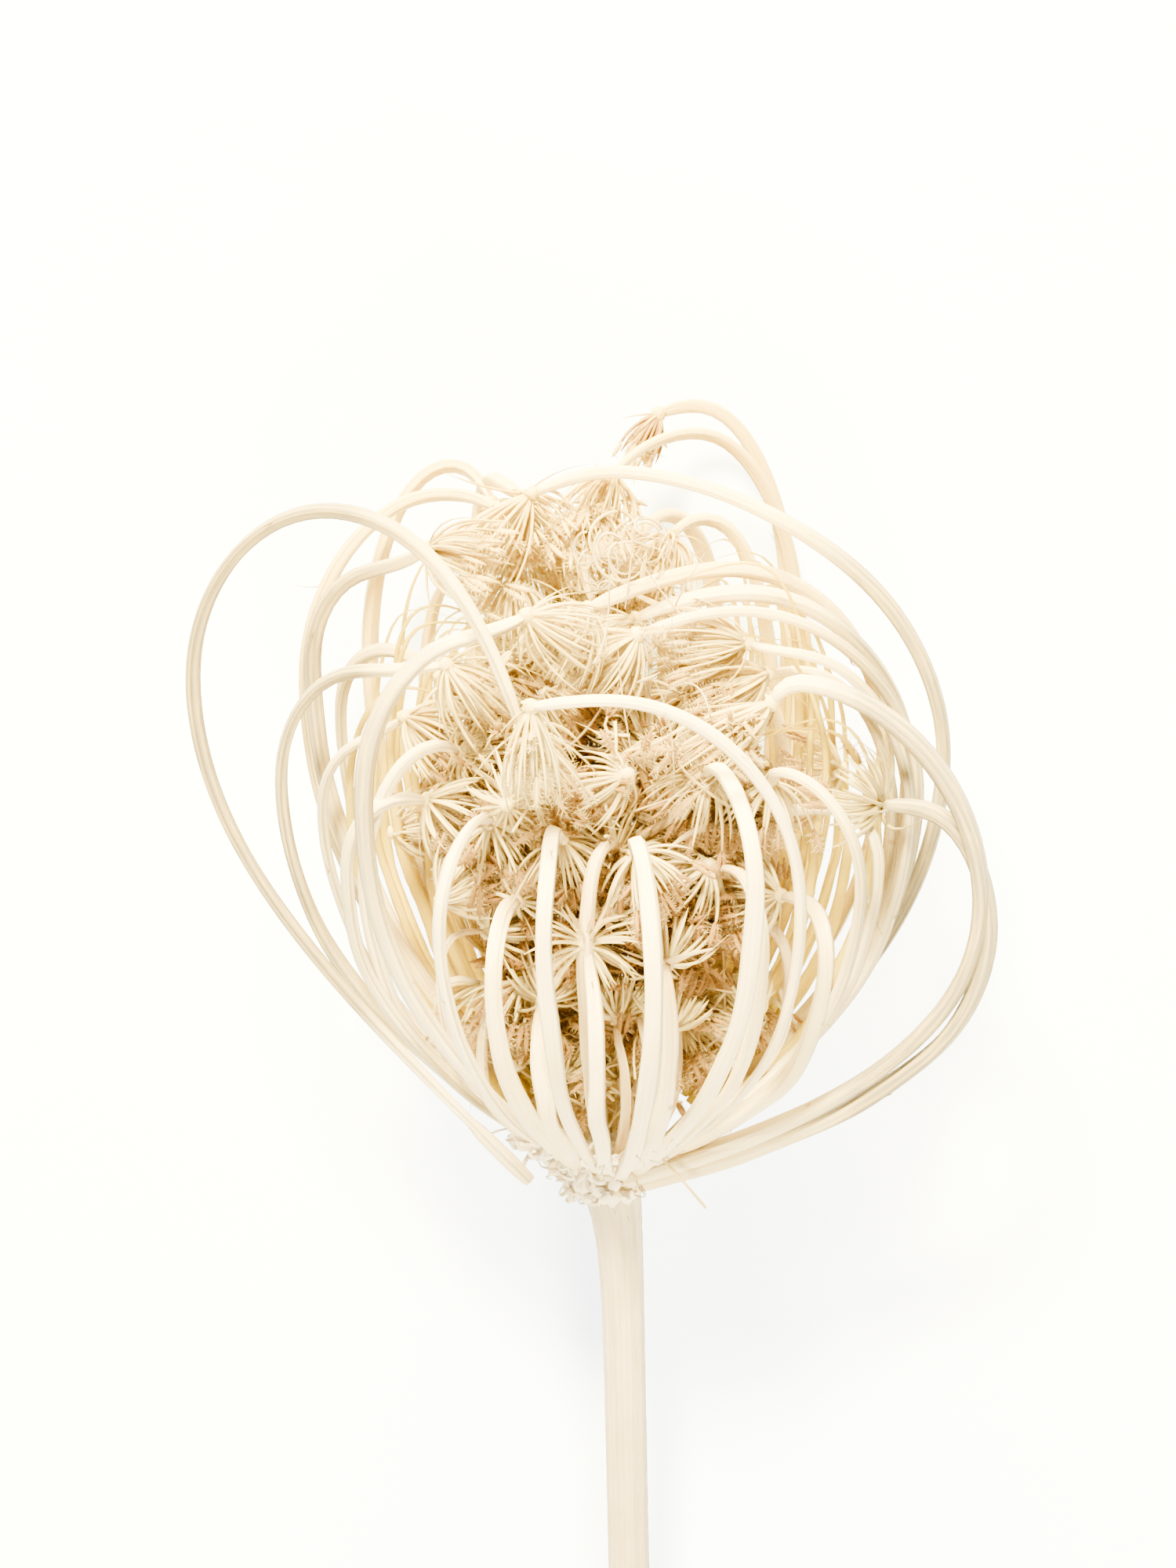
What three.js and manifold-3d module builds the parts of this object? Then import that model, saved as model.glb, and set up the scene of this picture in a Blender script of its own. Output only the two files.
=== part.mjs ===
// A dried carrot-family seed head, closed like a bird's nest, lying as cut on a table.
// Millimetres. The flower frame has its origin on top of the receptacle, z along the stem towards
// the head, -y to the front of the head. The finished part lies on z = 0, stem towards -Y.
import * as THREE from "three";
import Module from "manifold-3d";

const wasm = await Module();
wasm.setup();

// Driving dimensions
const STEM_LENGTH = 92;
const STEM_RADIUS = 1.82;
const STEM_FLARE = 0.72;
const STEM_FLARE_LENGTH = 4.6;
const STEM_RIDGES = 10;
const STEM_GROOVE = 0.16;
const STEM_STEPS = 9;
const STEM_CROWDING = 1.6;
const STEM_SHIFT = 0.9;
const STEM_DRIFT = 0.016;
const STEM_BOW = 1.0;
const RECEPTACLE_RADIUS = 4.6;
const RECEPTACLE_DEPTH = 3.6;
const RECEPTACLE_SIDES = 14;
const RAY_FOOT_RADIUS = 0.64;
const RAY_TIP_RADIUS = 0.56;
const RAY_SWELL = 0.2;
const RAY_FLATNESS = 0.86;
const RAY_SIDES = 5;
const RAY_LEAVING = 0.5;
const RAY_CLIMB = 0.3;
const RAY_FULL = 0.55;
const RAY_HOOK = 0.45;
const OUTER_REACH = 26;
const SHORT_REACH = 16;
const FOOT_RING = 3.1;
const FOOT_RISE = -0.6;
const FOOT_INNER_RISE = 2;
const SHOULDER_ROUND = 0.55;
const CREST_ROUND = 0.5;
const HUB_RADIUS = 1.1;
const HUB_SUNK = 0.3;
const HUB_FAN = 52;
const KNOB_RING = 0.7;
const KNOB_SEAT = 0.42;
const KNOB_SHOULDER = 105;
const NEST_PULL = 0.8;
const PEDICEL_RADIUS = 0.3;
const PEDICEL_LENGTH = 4.6;
const PEDICEL_CURVE = 0.4;
const FRUIT_LENGTH = 3.4;
const FRUIT_RADIUS = 0.78;
const FRUIT_WIDEST = 0.35;
const LEAST_FRUIT = 0.8;
const FRUIT_GAP = 0.12;
const NODE_GAP = 0.3;
const BRACT_ROOT = 1.6;

// The stem's lean and the head's roll at which the cut end and two back rays touch the table
const LEAN = THREE.MathUtils.degToRad(11.524);
const ROLL = THREE.MathUtils.degToRad(-0.293);

const SEED = 2;
const ATTEMPTS = 60;
const SIZE_SPREAD = 0.15;
const FAN_SPREAD = 0.2;
const TURN_SPREAD = 20;
const TURN_WIDENING = 2;
const SHRINKING = 0.6;
const FIFTHS = [0, 1, 2, 3, 4];
const NEST_CENTRE = new THREE.Vector3(0, 0, 44);

// Each ray by its widest point, its crest and its tip, as [turn, reach, rise]: degrees round the
// stem from the front towards +x, then millimetres out from the stem's line and up it.
// aim, fan and size set the umbellet's direction, half angle in degrees and size where they differ
// from the others', foot the ray's root, climb and full the lower curve's two ends, and girth the
// ray's thickness.
const RAYS = [
  // left side
  { bulge: [-85, 29, 37.5], crest: [-78, 22, 48.8], tip: [-72, 16.4, 49.2], aim: [0.6, 0.2, -0.8] },
  { bulge: [-54, 26, 41.6], crest: [-43, 17.6, 54.6], tip: [-37, 13.6, 55.2], aim: [0.7, 0.4, -0.5] },
  { bulge: [-111, 29.4, 42.3], crest: [-135, 23.7, 58], tip: [-137, 15.7, 58.7] },
  { bulge: [-98, 26.7, 47], crest: [-102, 21.7, 54.9], tip: [-100, 17.1, 56.8] },
  { bulge: [-130, 29, 42], crest: [-145, 26, 59.7], tip: [-148, 21, 57.8] },
  { bulge: [-107, 25.4, 41.2], crest: [-104, 19.9, 47.6], tip: [-105, 16.8, 45.9] },
  { bulge: [-88, 25.5, 35.4], crest: [-90, 21.3, 40.9], tip: [-92, 19.3, 41.6], aim: [0.8, 0, -0.6] },
  { bulge: [-72, 24.3, 31.4], crest: [-70, 19.9, 37.9], tip: [-71, 17.9, 37.4], aim: [0.8, 0.1, -0.5] },
  { bulge: [-73, 22.5, 29], crest: [-69, 16, 42.6], tip: [-72, 14.3, 41.5] },
  { bulge: [-33.7, 26, 32.7], crest: [-39, 18.1, 38.6], tip: [-45, 14.8, 37.2], aim: [0.3, 0.3, -0.9] },
  { bulge: [-24.5, 24, 27.8], crest: [-28.4, 19, 31.1], tip: [-34.7, 14.5, 30.2] },
  { bulge: [-20.2, 18, 18.4], crest: [-22, 16, 20.2], tip: [-26.6, 13, 20.1] },
  // front
  { bulge: [-11.7, 26.7, 33.1], crest: [-15.1, 19, 39.1], tip: [-18.1, 14, 36.9], aim: [0.2, 0.2, -0.9] },
  { bulge: [7.8, 26.5, 28.9], crest: [7, 19, 38.4], tip: [8, 15, 36.4], aim: [0.4, 0.2, -0.9] },
  { bulge: [-7, 17.5, 29], crest: [-3, 14.5, 36.3], tip: [2, 10.5, 34.5] },
  { bulge: [-3.1, 22, 24.2], crest: [-4.8, 19, 27.6], tip: [-6, 16, 27.5], aim: [0, -0.9, -0.4],
    fan: 75 },
  { bulge: [14.1, 21, 20.6], crest: [14.7, 19, 25.2], tip: [17.2, 16, 25.2] },
  { bulge: [6.6, 12, 13.2], crest: [4, 11.5, 16.2], tip: [2, 10, 17], girth: 0.6 },
  { bulge: [26.4, 27.5, 36.7], crest: [30.3, 19, 43.8], tip: [40, 13.1, 41.4], aim: [-0.3, 0.3, -0.9] },
  { bulge: [40.4, 25.1, 32.4], crest: [-3.2, 23, 52.6], tip: [-15.3, 21.7, 51.4], aim: [0, 0, -1],
    fan: 35 },
  { bulge: [33.6, 23.5, 29], crest: [40, 17.8, 33.4], tip: [42, 14.2, 32.9], aim: [-0.6, 0.2, -0.8] },
  // right side
  { bulge: [52.4, 23.6, 26.1], crest: [57.6, 20.9, 29.5], tip: [62.5, 17.7, 29.1], aim: [-0.9, 0.2, -0.2] },
  { bulge: [54.8, 26.2, 33.7], crest: [55, 18.8, 41.7], tip: [62, 15.7, 40], aim: [-0.2, 0.1, -1] },
  { bulge: [68, 25.2, 34.3], crest: [78, 21, 35.8], tip: [80, 16.5, 35.2] },
  { bulge: [72, 33.8, 29.6], crest: [63, 16.9, 49], tip: [62, 16.2, 48.2], full: 0.5, climb: 0.25,
    foot: [-0.2, -3.3, -0.7], aim: [-0.8, -0.1, -0.6], size: 1.25, fan: 42 },
  { bulge: [73, 34.4, 26.5], crest: [75, 28.5, 37.1], tip: [75, 25.8, 37.1], full: 0.5, climb: 0.25,
    foot: [0.6, -3.1, -1.3], aim: [-0.8, 0, 0.4], size: 1.1, fan: 60 },
  { bulge: [92, 27.1, 35.4], crest: [74, 10.5, 53.6], tip: [44, 5.3, 52.3], aim: [-0.6, 0, -0.7] },
  { bulge: [84, 26.3, 34.6], crest: [76, 16, 50.1], tip: [78, 13.2, 50.2], aim: [-1, 0, -0.1] },
  { bulge: [93, 25, 33], crest: [90, 16.4, 47.3], tip: [88, 15, 47.3] },
  { bulge: [103, 27.3, 35.5], crest: [98, 10.3, 53.8], tip: [105, 3.5, 52.1] },
  { bulge: [112, 26.5, 36.5], crest: [110, 9.4, 55.4], tip: [-16, 3.6, 54.5] },
  { bulge: [95, 29.5, 38.5], crest: [175, 8, 62.9], tip: [-139, 8.8, 61.8], aim: [-0.6, -0.2, -0.8],
    size: 1.2 },
  // back, right to left
  { bulge: [142, 24, 36.5], crest: [154, 20, 55.6], tip: [158, 15, 55.4] },
  { bulge: [142, 28, 41.5], crest: [159, 21.5, 63], tip: [177, 14, 61.5] },
  { bulge: [148, 31, 43], crest: [163, 27, 63.9], tip: [168, 24.6, 63.8], aim: [-0.5, -0.3, -0.9],
    fan: 40, size: 0.6 },
  { bulge: [160, 29, 40], crest: [168, 21, 55], tip: [172, 16, 53.5] },
  { bulge: [169, 26, 38], crest: [176, 22, 52], tip: [180, 17, 50.5] },
  { bulge: [179, 26, 41], crest: [186, 20, 58], tip: [189, 13, 58] },
  { bulge: [189, 26, 39], crest: [193, 22, 53], tip: [195, 17, 52] },
  { bulge: [199, 29, 41], crest: [203, 23, 56], tip: [205, 18, 55] },
  { bulge: [209, 26.5, 40], crest: [211, 21, 59.5], tip: [214, 15, 59.5] },
  { bulge: [219, 27.5, 38], crest: [220, 22, 50], tip: [222, 17, 49] },
  // inside the nest
  { bulge: [125, 19, 34], crest: [130, 14, 44], tip: [133, 10, 43] },
  { bulge: [170, 18, 34], crest: [176, 13, 43], tip: [180, 9, 42] },
  { bulge: [215, 19, 35], crest: [222, 13, 45], tip: [230, 8.5, 44] },
  { bulge: [-105, 18, 31], crest: [-108, 13, 38], tip: [-112, 9, 37] },
  { bulge: [40, 9, 12], crest: [44, 8, 20], tip: [50, 5.5, 21], girth: 0.7 },
  { bulge: [-62, 17, 20], crest: [-62, 16, 25.6], tip: [-62, 13.6, 25.2], girth: 0.7 },
  { bulge: [68, 17, 20], crest: [68, 15.4, 25.8], tip: [68, 12.8, 25.4], girth: 0.7 },
  { bulge: [128, 13, 20], crest: [132, 11, 28], tip: [138, 8, 29], girth: 0.7 },
  { bulge: [192, 13, 19], crest: [196, 11, 26], tip: [200, 8, 26.5], girth: 0.7 },
  { bulge: [-115, 12, 15], crest: [-117, 10, 19], tip: [-120, 7, 19.5], girth: 0.7 },
  { bulge: [95, 4, 24], crest: [95, 3.6, 36], tip: [95, 2.5, 39], girth: 0.7 },
  { bulge: [-20, 5, 22], crest: [-20, 4.6, 28], tip: [-20, 3.8, 30], girth: 0.7 },
  { bulge: [-50, 15, 14], crest: [-52, 13.5, 19.5], tip: [-56, 10.5, 19.5], girth: 0.7,
    aim: [-0.3, -0.5, -0.8] },
  { bulge: [62, 13, 10], crest: [62, 11.5, 15], tip: [60, 8.5, 15.3], girth: 0.7,
    aim: [0.4, -0.5, -0.7] },
];

// Deep in the nest: these short rays and their umbellets are in the same solid as the other rays
const DEEP_RAYS = [
  { bulge: [98, 15.8, 14], crest: [98, 14.8, 18], tip: [98, 12.5, 17.5], girth: 0.7,
    aim: [0.2, -0.4, -0.9] },
  { bulge: [-92, 15.8, 14], crest: [-92, 14.8, 18], tip: [-92, 12.5, 17.5], girth: 0.7,
    aim: [-0.2, -0.4, -0.9] },
  { bulge: [-140, 15.8, 19], crest: [-140, 15, 23.5], tip: [-140, 12.8, 23], girth: 0.7,
    aim: [0.2, -0.3, -0.9] },
  { bulge: [155, 10.5, 14], crest: [155, 9.8, 17.5], tip: [155, 7.5, 17], girth: 0.7,
    aim: [0.3, -0.7, -0.6] },
  { bulge: [-155, 10.5, 12], crest: [-155, 9.5, 15], tip: [-155, 7.2, 14.5], girth: 0.7,
    aim: [-0.4, -0.6, -0.6] },
  { bulge: [12, 6.8, 7], crest: [12, 6.3, 10.4], tip: [12, 4.2, 10], girth: 0.7,
    aim: [-0.2, -0.1, 1] },
];

// The ray that broke off at its foot and hangs by its tip
const LOOSE_RAY = {
  foot: [-7.4, -6.6, 1.2],
  bulge: [-78, 36.7, 48.7],
  full: 0.69,
  climb: 0.44,
  crest: [-62, 25.8, 65.6],
  tip: [-24.4, 19.1, 49.4],
};

// Torn bract remnants round the receptacle: [turn, length, width, upward slope]
const BRACTS = [
  [-74, 4.8, 3.0, 0.4],
  [-34, 2.4, 3.4, 0.05],
  [18, 2.6, 3.6, -0.15],
  [70, 3.0, 2.8, 0],
  [128, 3.8, 3.0, -0.2],
  [196, 3.2, 3.2, -0.1],
];

let drawn = SEED;
function random() {
  drawn = (drawn * 1664525 + 1013904223) % 4294967296;
  return drawn / 4294967296;
}

function place([turn, reach, rise]) {
  const angle = THREE.MathUtils.degToRad(turn);
  return new THREE.Vector3(reach * Math.sin(angle), -reach * Math.cos(angle), rise);
}

function solid(points, faces) {
  const vertProperties = new Float32Array(points.flatMap((point) => point.toArray()));
  const mesh = new wasm.Mesh({ numProp: 3, vertProperties, triVerts: new Uint32Array(faces) });
  return new wasm.Manifold(mesh);
}

// The faces of one band between two rings of corners that run the same way round
function band(below, above) {
  return below.flatMap((corner, side) => {
    const next = (side + 1) % below.length;
    return [corner, below[next], above[next], corner, above[next], above[side]];
  });
}

// A closed solid through rings of points, with flat ends
function loft(rings) {
  const sides = rings[0].length;
  const corners = rings.map((around, level) => around.map((_, side) => level * sides + side));
  const first = corners[0];
  const last = corners[corners.length - 1];
  const faces = corners.slice(1).flatMap((above, level) => band(corners[level], above));
  for (let side = 1; side + 1 < sides; side += 1) {
    faces.push(first[0], first[side + 1], first[side]);
    faces.push(last[0], last[side], last[side + 1]);
  }
  return solid(rings.flat(), faces);
}

// A ring of points round a centre, square to the way ahead
function ring(centre, ahead, side, radius, sides, flatness = 1) {
  const up = new THREE.Vector3().crossVectors(ahead, side);
  return Array.from({ length: sides }, (_, step) => {
    const angle = (2 * Math.PI * step) / sides;
    return centre.clone()
      .addScaledVector(side, radius * Math.cos(angle))
      .addScaledVector(up, radius * flatness * Math.sin(angle));
  });
}

// Turns a side vector so that it stays square to the way ahead, with no twist
function squared(side, ahead) {
  return side.clone().addScaledVector(ahead, -side.dot(ahead)).normalize();
}

// A ray's foot, sunk in the receptacle: the shorter rays grow nearer to its middle
function footOf(turn, reach, foot) {
  if (foot) {
    return new THREE.Vector3(...foot);
  }
  const inner = Math.max(0, 1 - reach / OUTER_REACH);
  return place([turn, FOOT_RING * (1 - inner), FOOT_RISE + FOOT_INNER_RISE * inner]);
}

// The ray's line in three curves: out to its widest point, up to its crest, and in to its tip
function rayCurves({ bulge: [turn, reach, rise], climb = RAY_CLIMB, full = RAY_FULL, ...ray }) {
  const foot = footOf(turn, reach, ray.foot);
  const bulge = place([turn, reach, rise]);
  const crest = place(ray.crest);
  const tip = place(ray.tip);
  const leaving = foot.clone().add(place([turn, RAY_LEAVING * reach, climb * rise]));
  const arriving = place([turn, reach, full * rise]);
  const back = new THREE.Vector3(bulge.x - crest.x, bulge.y - crest.y, 0);
  const rising = bulge.clone().lerp(bulge.clone().setZ(crest.z), SHOULDER_ROUND);
  const flattening = crest.clone().addScaledVector(back, CREST_ROUND);
  const past = back.clone().setLength(-RAY_HOOK * crest.distanceTo(tip)).add(crest);
  return [
    new THREE.CubicBezierCurve3(foot, leaving, arriving, bulge),
    new THREE.CubicBezierCurve3(bulge, rising, flattening, crest),
    new THREE.QuadraticBezierCurve3(crest, past, tip),
  ];
}

// Stations along a ray, each with its centre, way ahead, side and radius
function rayStations(ray) {
  const steps = ray.bulge[1] > SHORT_REACH ? [4, 4, 2] : [2, 3, 1];
  const stations = rayCurves(ray).flatMap((curve, part) => {
    const first = part === 0 ? 0 : 1;
    return Array.from({ length: steps[part] + 1 - first }, (_, step) => {
      const along = (step + first) / steps[part];
      return { centre: curve.getPoint(along), ahead: curve.getTangent(along) };
    });
  });
  let side = place([ray.bulge[0] + 90, 1, 0]);
  stations.forEach((station, index) => {
    side = squared(side, station.ahead);
    station.side = side;
    const along = index / (stations.length - 1);
    const taper = THREE.MathUtils.lerp(RAY_FOOT_RADIUS, RAY_TIP_RADIUS, along);
    station.radius = (taper + RAY_SWELL * Math.sin(Math.PI * along)) * (ray.girth ?? 1);
  });
  return stations;
}

function raySolid(stations) {
  return loft(stations.map(({ centre, ahead, side, radius }) =>
    ring(centre, ahead, side, radius, RAY_SIDES, RAY_FLATNESS)));
}

// A ray as a chain of round limbs, for keeping the umbellets clear of it
function rayLimbs(stations, owner) {
  return stations.slice(1).map((station, index) => ({
    line: new THREE.Line3(stations[index].centre, station.centre),
    radius: stations[index].radius,
    owner,
  }));
}

const onOne = new THREE.Vector3();
const onOther = new THREE.Vector3();

function spaceBetween(one, other) {
  const apart = Math.sqrt(one.line.distanceSqToLine3(other.line, onOne, onOther));
  return apart - one.radius - other.radius;
}

// An umbellet: a hub knob past the ray's tip, with pedicels that fan out round its axis
function hubOf(ray, stations, owner, gap = NODE_GAP) {
  const end = stations[stations.length - 1];
  const centre = end.centre.clone().addScaledVector(end.ahead, HUB_RADIUS + gap);
  const towards = NEST_CENTRE.clone().sub(centre).normalize();
  const axis = ray.aim
    ? new THREE.Vector3(...ray.aim).normalize()
    : end.ahead.clone().addScaledVector(towards, NEST_PULL).normalize();
  const across = squared(new THREE.Vector3(0.36, 0.48, 0.8), axis);
  const hub = {
    centre,
    axis,
    across,
    upright: new THREE.Vector3().crossVectors(axis, across),
    fan: ray.fan ?? HUB_FAN,
    size: ray.size ?? 1,
    owner,
    pedicels: [],
  };
  hub.knob = knob(hub);
  return hub;
}

// A direction from the hub, by its angle off the axis and its turn round it, in degrees
function fanOut(hub, off, round) {
  const away = THREE.MathUtils.degToRad(off);
  const turn = THREE.MathUtils.degToRad(round);
  return hub.axis.clone().multiplyScalar(Math.cos(away))
    .addScaledVector(hub.across, Math.sin(away) * Math.cos(turn))
    .addScaledVector(hub.upright, Math.sin(away) * Math.sin(turn));
}

// The hub's knob has a point on its axis, two rings of five and a point behind. Ten of its faces
// are seats that can each carry a pedicel: five round the axis and five outside them.
function knob(hub) {
  const fifth = 360 / FIFTHS.length;
  const directions = [
    fanOut(hub, 0, 0),
    ...FIFTHS.map((turn) => fanOut(hub, KNOB_RING * hub.fan, turn * fifth)),
    ...FIFTHS.map((turn) => fanOut(hub, KNOB_SHOULDER, (turn + 0.5) * fifth)),
    fanOut(hub, 180, 0),
  ];
  const points = directions.map((direction) => direction.multiplyScalar(HUB_RADIUS).add(hub.centre));
  const [front, back] = [0, points.length - 1];
  const sectors = FIFTHS.map((turn) => {
    const next = (turn + 1) % FIFTHS.length;
    return { inner: [1 + turn, 1 + next], outer: [6 + turn, 6 + next], round: (turn + 0.5) * fifth };
  });
  const seats = sectors.flatMap(({ inner, outer, round }) => [
    { face: [front, inner[0], inner[1]], off: KNOB_SEAT * hub.fan, round },
    { face: [inner[0], outer[0], inner[1]], off: hub.fan, round },
  ]);
  const bare = sectors.flatMap(({ inner, outer }) =>
    [outer[0], outer[1], inner[1], back, outer[1], outer[0]]);
  return { points, seats, bare };
}

function pedicelOf(hub, seat, attempt) {
  const shrink = 1 - SHRINKING * (attempt / ATTEMPTS);
  const size = hub.size * (1 + SIZE_SPREAD * (2 * random() - 1)) * shrink;
  const off = seat.off * (1 + FAN_SPREAD * (2 * random() - 1));
  const round = seat.round + (TURN_SPREAD + TURN_WIDENING * attempt) * (random() - 0.5);
  const leaving = fanOut(hub, off, round);
  const onward = leaving.clone().addScaledVector(hub.axis, PEDICEL_CURVE).normalize();
  const foot = new THREE.Vector3();
  seat.face.forEach((corner) => foot.addScaledVector(hub.knob.points[corner], 1 / 3));
  const neck = foot.clone().addScaledVector(leaving, PEDICEL_LENGTH * size);
  const end = neck.clone().addScaledVector(onward, FRUIT_LENGTH * Math.max(size, LEAST_FRUIT));
  const fruit = new THREE.Line3(neck, end);
  const belly = new THREE.Line3(fruit.at(0.25, new THREE.Vector3()), fruit.at(0.5, new THREE.Vector3()));
  return {
    seat,
    leaving,
    onward,
    fruit,
    stalk: { line: new THREE.Line3(foot, neck), radius: PEDICEL_RADIUS, owner: hub.owner },
    core: { line: fruit, radius: PEDICEL_RADIUS, owner: hub.owner },
    belly: { line: belly, radius: FRUIT_RADIUS, owner: hub.owner },
  };
}

// Clear of everything else, and the fruit clear of its own umbellet's other pedicels
function isClear({ stalk, core, belly }, hub, obstacles) {
  const apart = obstacles.every((obstacle) => obstacle.owner === hub.owner
    || [stalk, core, belly].every((limb) => spaceBetween(limb, obstacle) > FRUIT_GAP));
  return apart && hub.pedicels.every((grown) =>
    [grown.stalk, grown.core, grown.belly].every((limb) => spaceBetween(belly, limb) > FRUIT_GAP)
    && [stalk, core].every((limb) => spaceBetween(limb, grown.belly) > FRUIT_GAP));
}

// Round and round the umbellets, one pedicel at a time, so that crowded ones share the room
function growPedicels(hubs, obstacles) {
  for (let turn = 0; turn < hubs[0].knob.seats.length; turn += 1) {
    hubs.forEach((hub) => {
      for (let attempt = 0; attempt < ATTEMPTS; attempt += 1) {
        const grown = pedicelOf(hub, hub.knob.seats[turn], attempt);
        if (isClear(grown, hub, obstacles)) {
          hub.pedicels.push(grown);
          obstacles.push(grown.stalk, grown.core, grown.belly);
          break;
        }
      }
    });
  }
}

// Draws one face of the knob out into a pedicel and its pointed fruit
function drawOut(points, faces, { seat, leaving, onward, fruit }) {
  const foot = new THREE.Vector3();
  seat.face.forEach((corner) => foot.addScaledVector(points[corner], 1 / 3));
  const spokes = seat.face.map((corner) => points[corner].clone().sub(foot));
  const widest = fruit.at(FRUIT_WIDEST, new THREE.Vector3());
  const levels = [
    { centre: fruit.start, ahead: leaving, radius: PEDICEL_RADIUS },
    { centre: widest, ahead: onward, radius: FRUIT_RADIUS },
  ];
  let below = seat.face;
  levels.forEach(({ centre, ahead, radius }) => {
    const above = spokes.map((spoke) => {
      points.push(centre.clone().addScaledVector(squared(spoke, ahead), radius));
      return points.length - 1;
    });
    faces.push(...band(below, above));
    below = above;
  });
  points.push(fruit.end);
  below.forEach((corner, side) => faces.push(corner, below[(side + 1) % 3], points.length - 1));
}

function umbelletSolid({ knob: { points, seats, bare }, pedicels }) {
  const faces = [...bare];
  seats.forEach((seat) => {
    const grown = pedicels.find((pedicel) => pedicel.seat === seat);
    if (grown) {
      drawOut(points, faces, grown);
    } else {
      faces.push(...seat.face);
    }
  });
  return solid(points, faces);
}

function receptacle() {
  const profile = [
    [-RECEPTACLE_DEPTH, 2.5],
    [-2.4, 3.3],
    [-1.0, RECEPTACLE_RADIUS],
    [0.3, RECEPTACLE_RADIUS * 0.96],
    [1.4, RECEPTACLE_RADIUS * 0.7],
    [2.0, RECEPTACLE_RADIUS * 0.3],
  ];
  const up = new THREE.Vector3(0, 0, 1);
  const side = new THREE.Vector3(1, 0, 0);
  return loft(profile.map(([rise, radius]) =>
    ring(new THREE.Vector3(0, 0, rise), up, side, radius, RECEPTACLE_SIDES)));
}

function bract([turn, length, width, slope]) {
  const outward = place([turn, 1, slope]).normalize();
  const side = place([turn + 90, 1, 0]);
  const start = place([turn, RECEPTACLE_RADIUS - BRACT_ROOT, -1]);
  const shape = [[0, width / 2, 0.35], [0.6, width / 2, 0.3], [1, width / 5, 0.5]];
  return loft(shape.map(([along, radius, flatness]) => {
    const centre = start.clone().addScaledVector(outward, along * (BRACT_ROOT + length));
    return ring(centre, outward, side, radius, 4, flatness);
  }));
}

// How far the stem's line has moved to the right at a distance below the head
function stemDrift(down) {
  return STEM_SHIFT * (1 - Math.exp(-down / STEM_FLARE_LENGTH)) + STEM_DRIFT * down;
}

function stem() {
  const top = RECEPTACLE_DEPTH + NODE_GAP;
  const side = new THREE.Vector3(1, 0, 0);
  const up = new THREE.Vector3(0, 0, 1);
  const rings = Array.from({ length: STEM_STEPS + 1 }, (_, step) => {
    const below = (STEM_LENGTH - top) * (1 - step / STEM_STEPS) ** STEM_CROWDING;
    const radius = STEM_RADIUS + STEM_FLARE * Math.exp(-below / STEM_FLARE_LENGTH);
    const bow = -STEM_BOW * Math.sin((Math.PI * below) / STEM_LENGTH);
    const centre = new THREE.Vector3(stemDrift(below), bow, -top - below);
    const crests = ring(centre, up, side, radius, 2 * STEM_RIDGES);
    const grooves = ring(centre, up, side, radius - STEM_GROOVE, 2 * STEM_RIDGES);
    return crests.map((crest, index) => (index % 2 ? grooves[index] : crest));
  });
  return loft(rings);
}

function named(manifold, name, material) {
  const { vertProperties, triVerts } = manifold.getMesh();
  const geometry = new THREE.BufferGeometry();
  geometry.setAttribute("position", new THREE.BufferAttribute(vertProperties, 3));
  geometry.setIndex(new THREE.BufferAttribute(triVerts, 1));
  geometry.computeVertexNormals();
  const mesh = new THREE.Mesh(geometry, material);
  mesh.name = name;
  return mesh;
}

function cream() {
  return new THREE.MeshStandardMaterial({ color: 0xe9dcc2, roughness: 0.75, metalness: 0 });
}

function tan() {
  return new THREE.MeshStandardMaterial({ color: 0xc39a6c, roughness: 0.85, metalness: 0 });
}

const stations = RAYS.map(rayStations);
const looseStations = rayStations(LOOSE_RAY);
const deepStations = DEEP_RAYS.map(rayStations);
const hubs = [...RAYS, LOOSE_RAY].map((ray, index) =>
  hubOf(ray, stations[index] ?? looseStations, index + 1));
const deepHubs = DEEP_RAYS.map((ray, index) =>
  hubOf(ray, deepStations[index], hubs.length + index + 1, -HUB_SUNK));
const allHubs = [...hubs, ...deepHubs];
const obstacles = [
  ...[...stations, ...deepStations].flatMap((line) => rayLimbs(line, "rays")),
  ...rayLimbs(looseStations, "loose_ray"),
  ...allHubs.map(({ centre, owner }) =>
    ({ line: new THREE.Line3(centre, centre), radius: HUB_RADIUS, owner })),
];
growPedicels(allHubs, obstacles);

const flower = new THREE.Group();
const rays = wasm.Manifold.union([
  receptacle(),
  ...BRACTS.map(bract),
  ...[...stations, ...deepStations].map(raySolid),
  ...deepHubs.map(umbelletSolid),
]);
flower.add(named(stem(), "stem", cream()));
flower.add(named(rays, "rays", cream()));
flower.add(named(raySolid(looseStations), "loose_ray", cream()));
hubs.forEach((hub) => {
  flower.add(named(umbelletSolid(hub), `umbellet_${String(hub.owner).padStart(2, "0")}`, tan()));
});

// Laid down: the stem's line turns to point along +Y, and the lowest points come to z = 0
const group = new THREE.Group();
flower.rotation.set(LEAN - Math.PI / 2, 0, 0);
group.rotation.y = ROLL;
group.add(flower);
group.updateMatrixWorld(true);
const box = new THREE.Box3().setFromObject(group, true);
const middle = box.getCenter(new THREE.Vector3());
group.position.set(-middle.x, -middle.y, -box.min.z);

export default group;
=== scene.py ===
"""A dried umbel, closed like a bird's nest, lying on a pale table and seen from above."""
import math
from functools import partial, reduce
from types import SimpleNamespace

import bpy
import numpy as np
from mathutils import Matrix, Vector, kdtree


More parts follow.
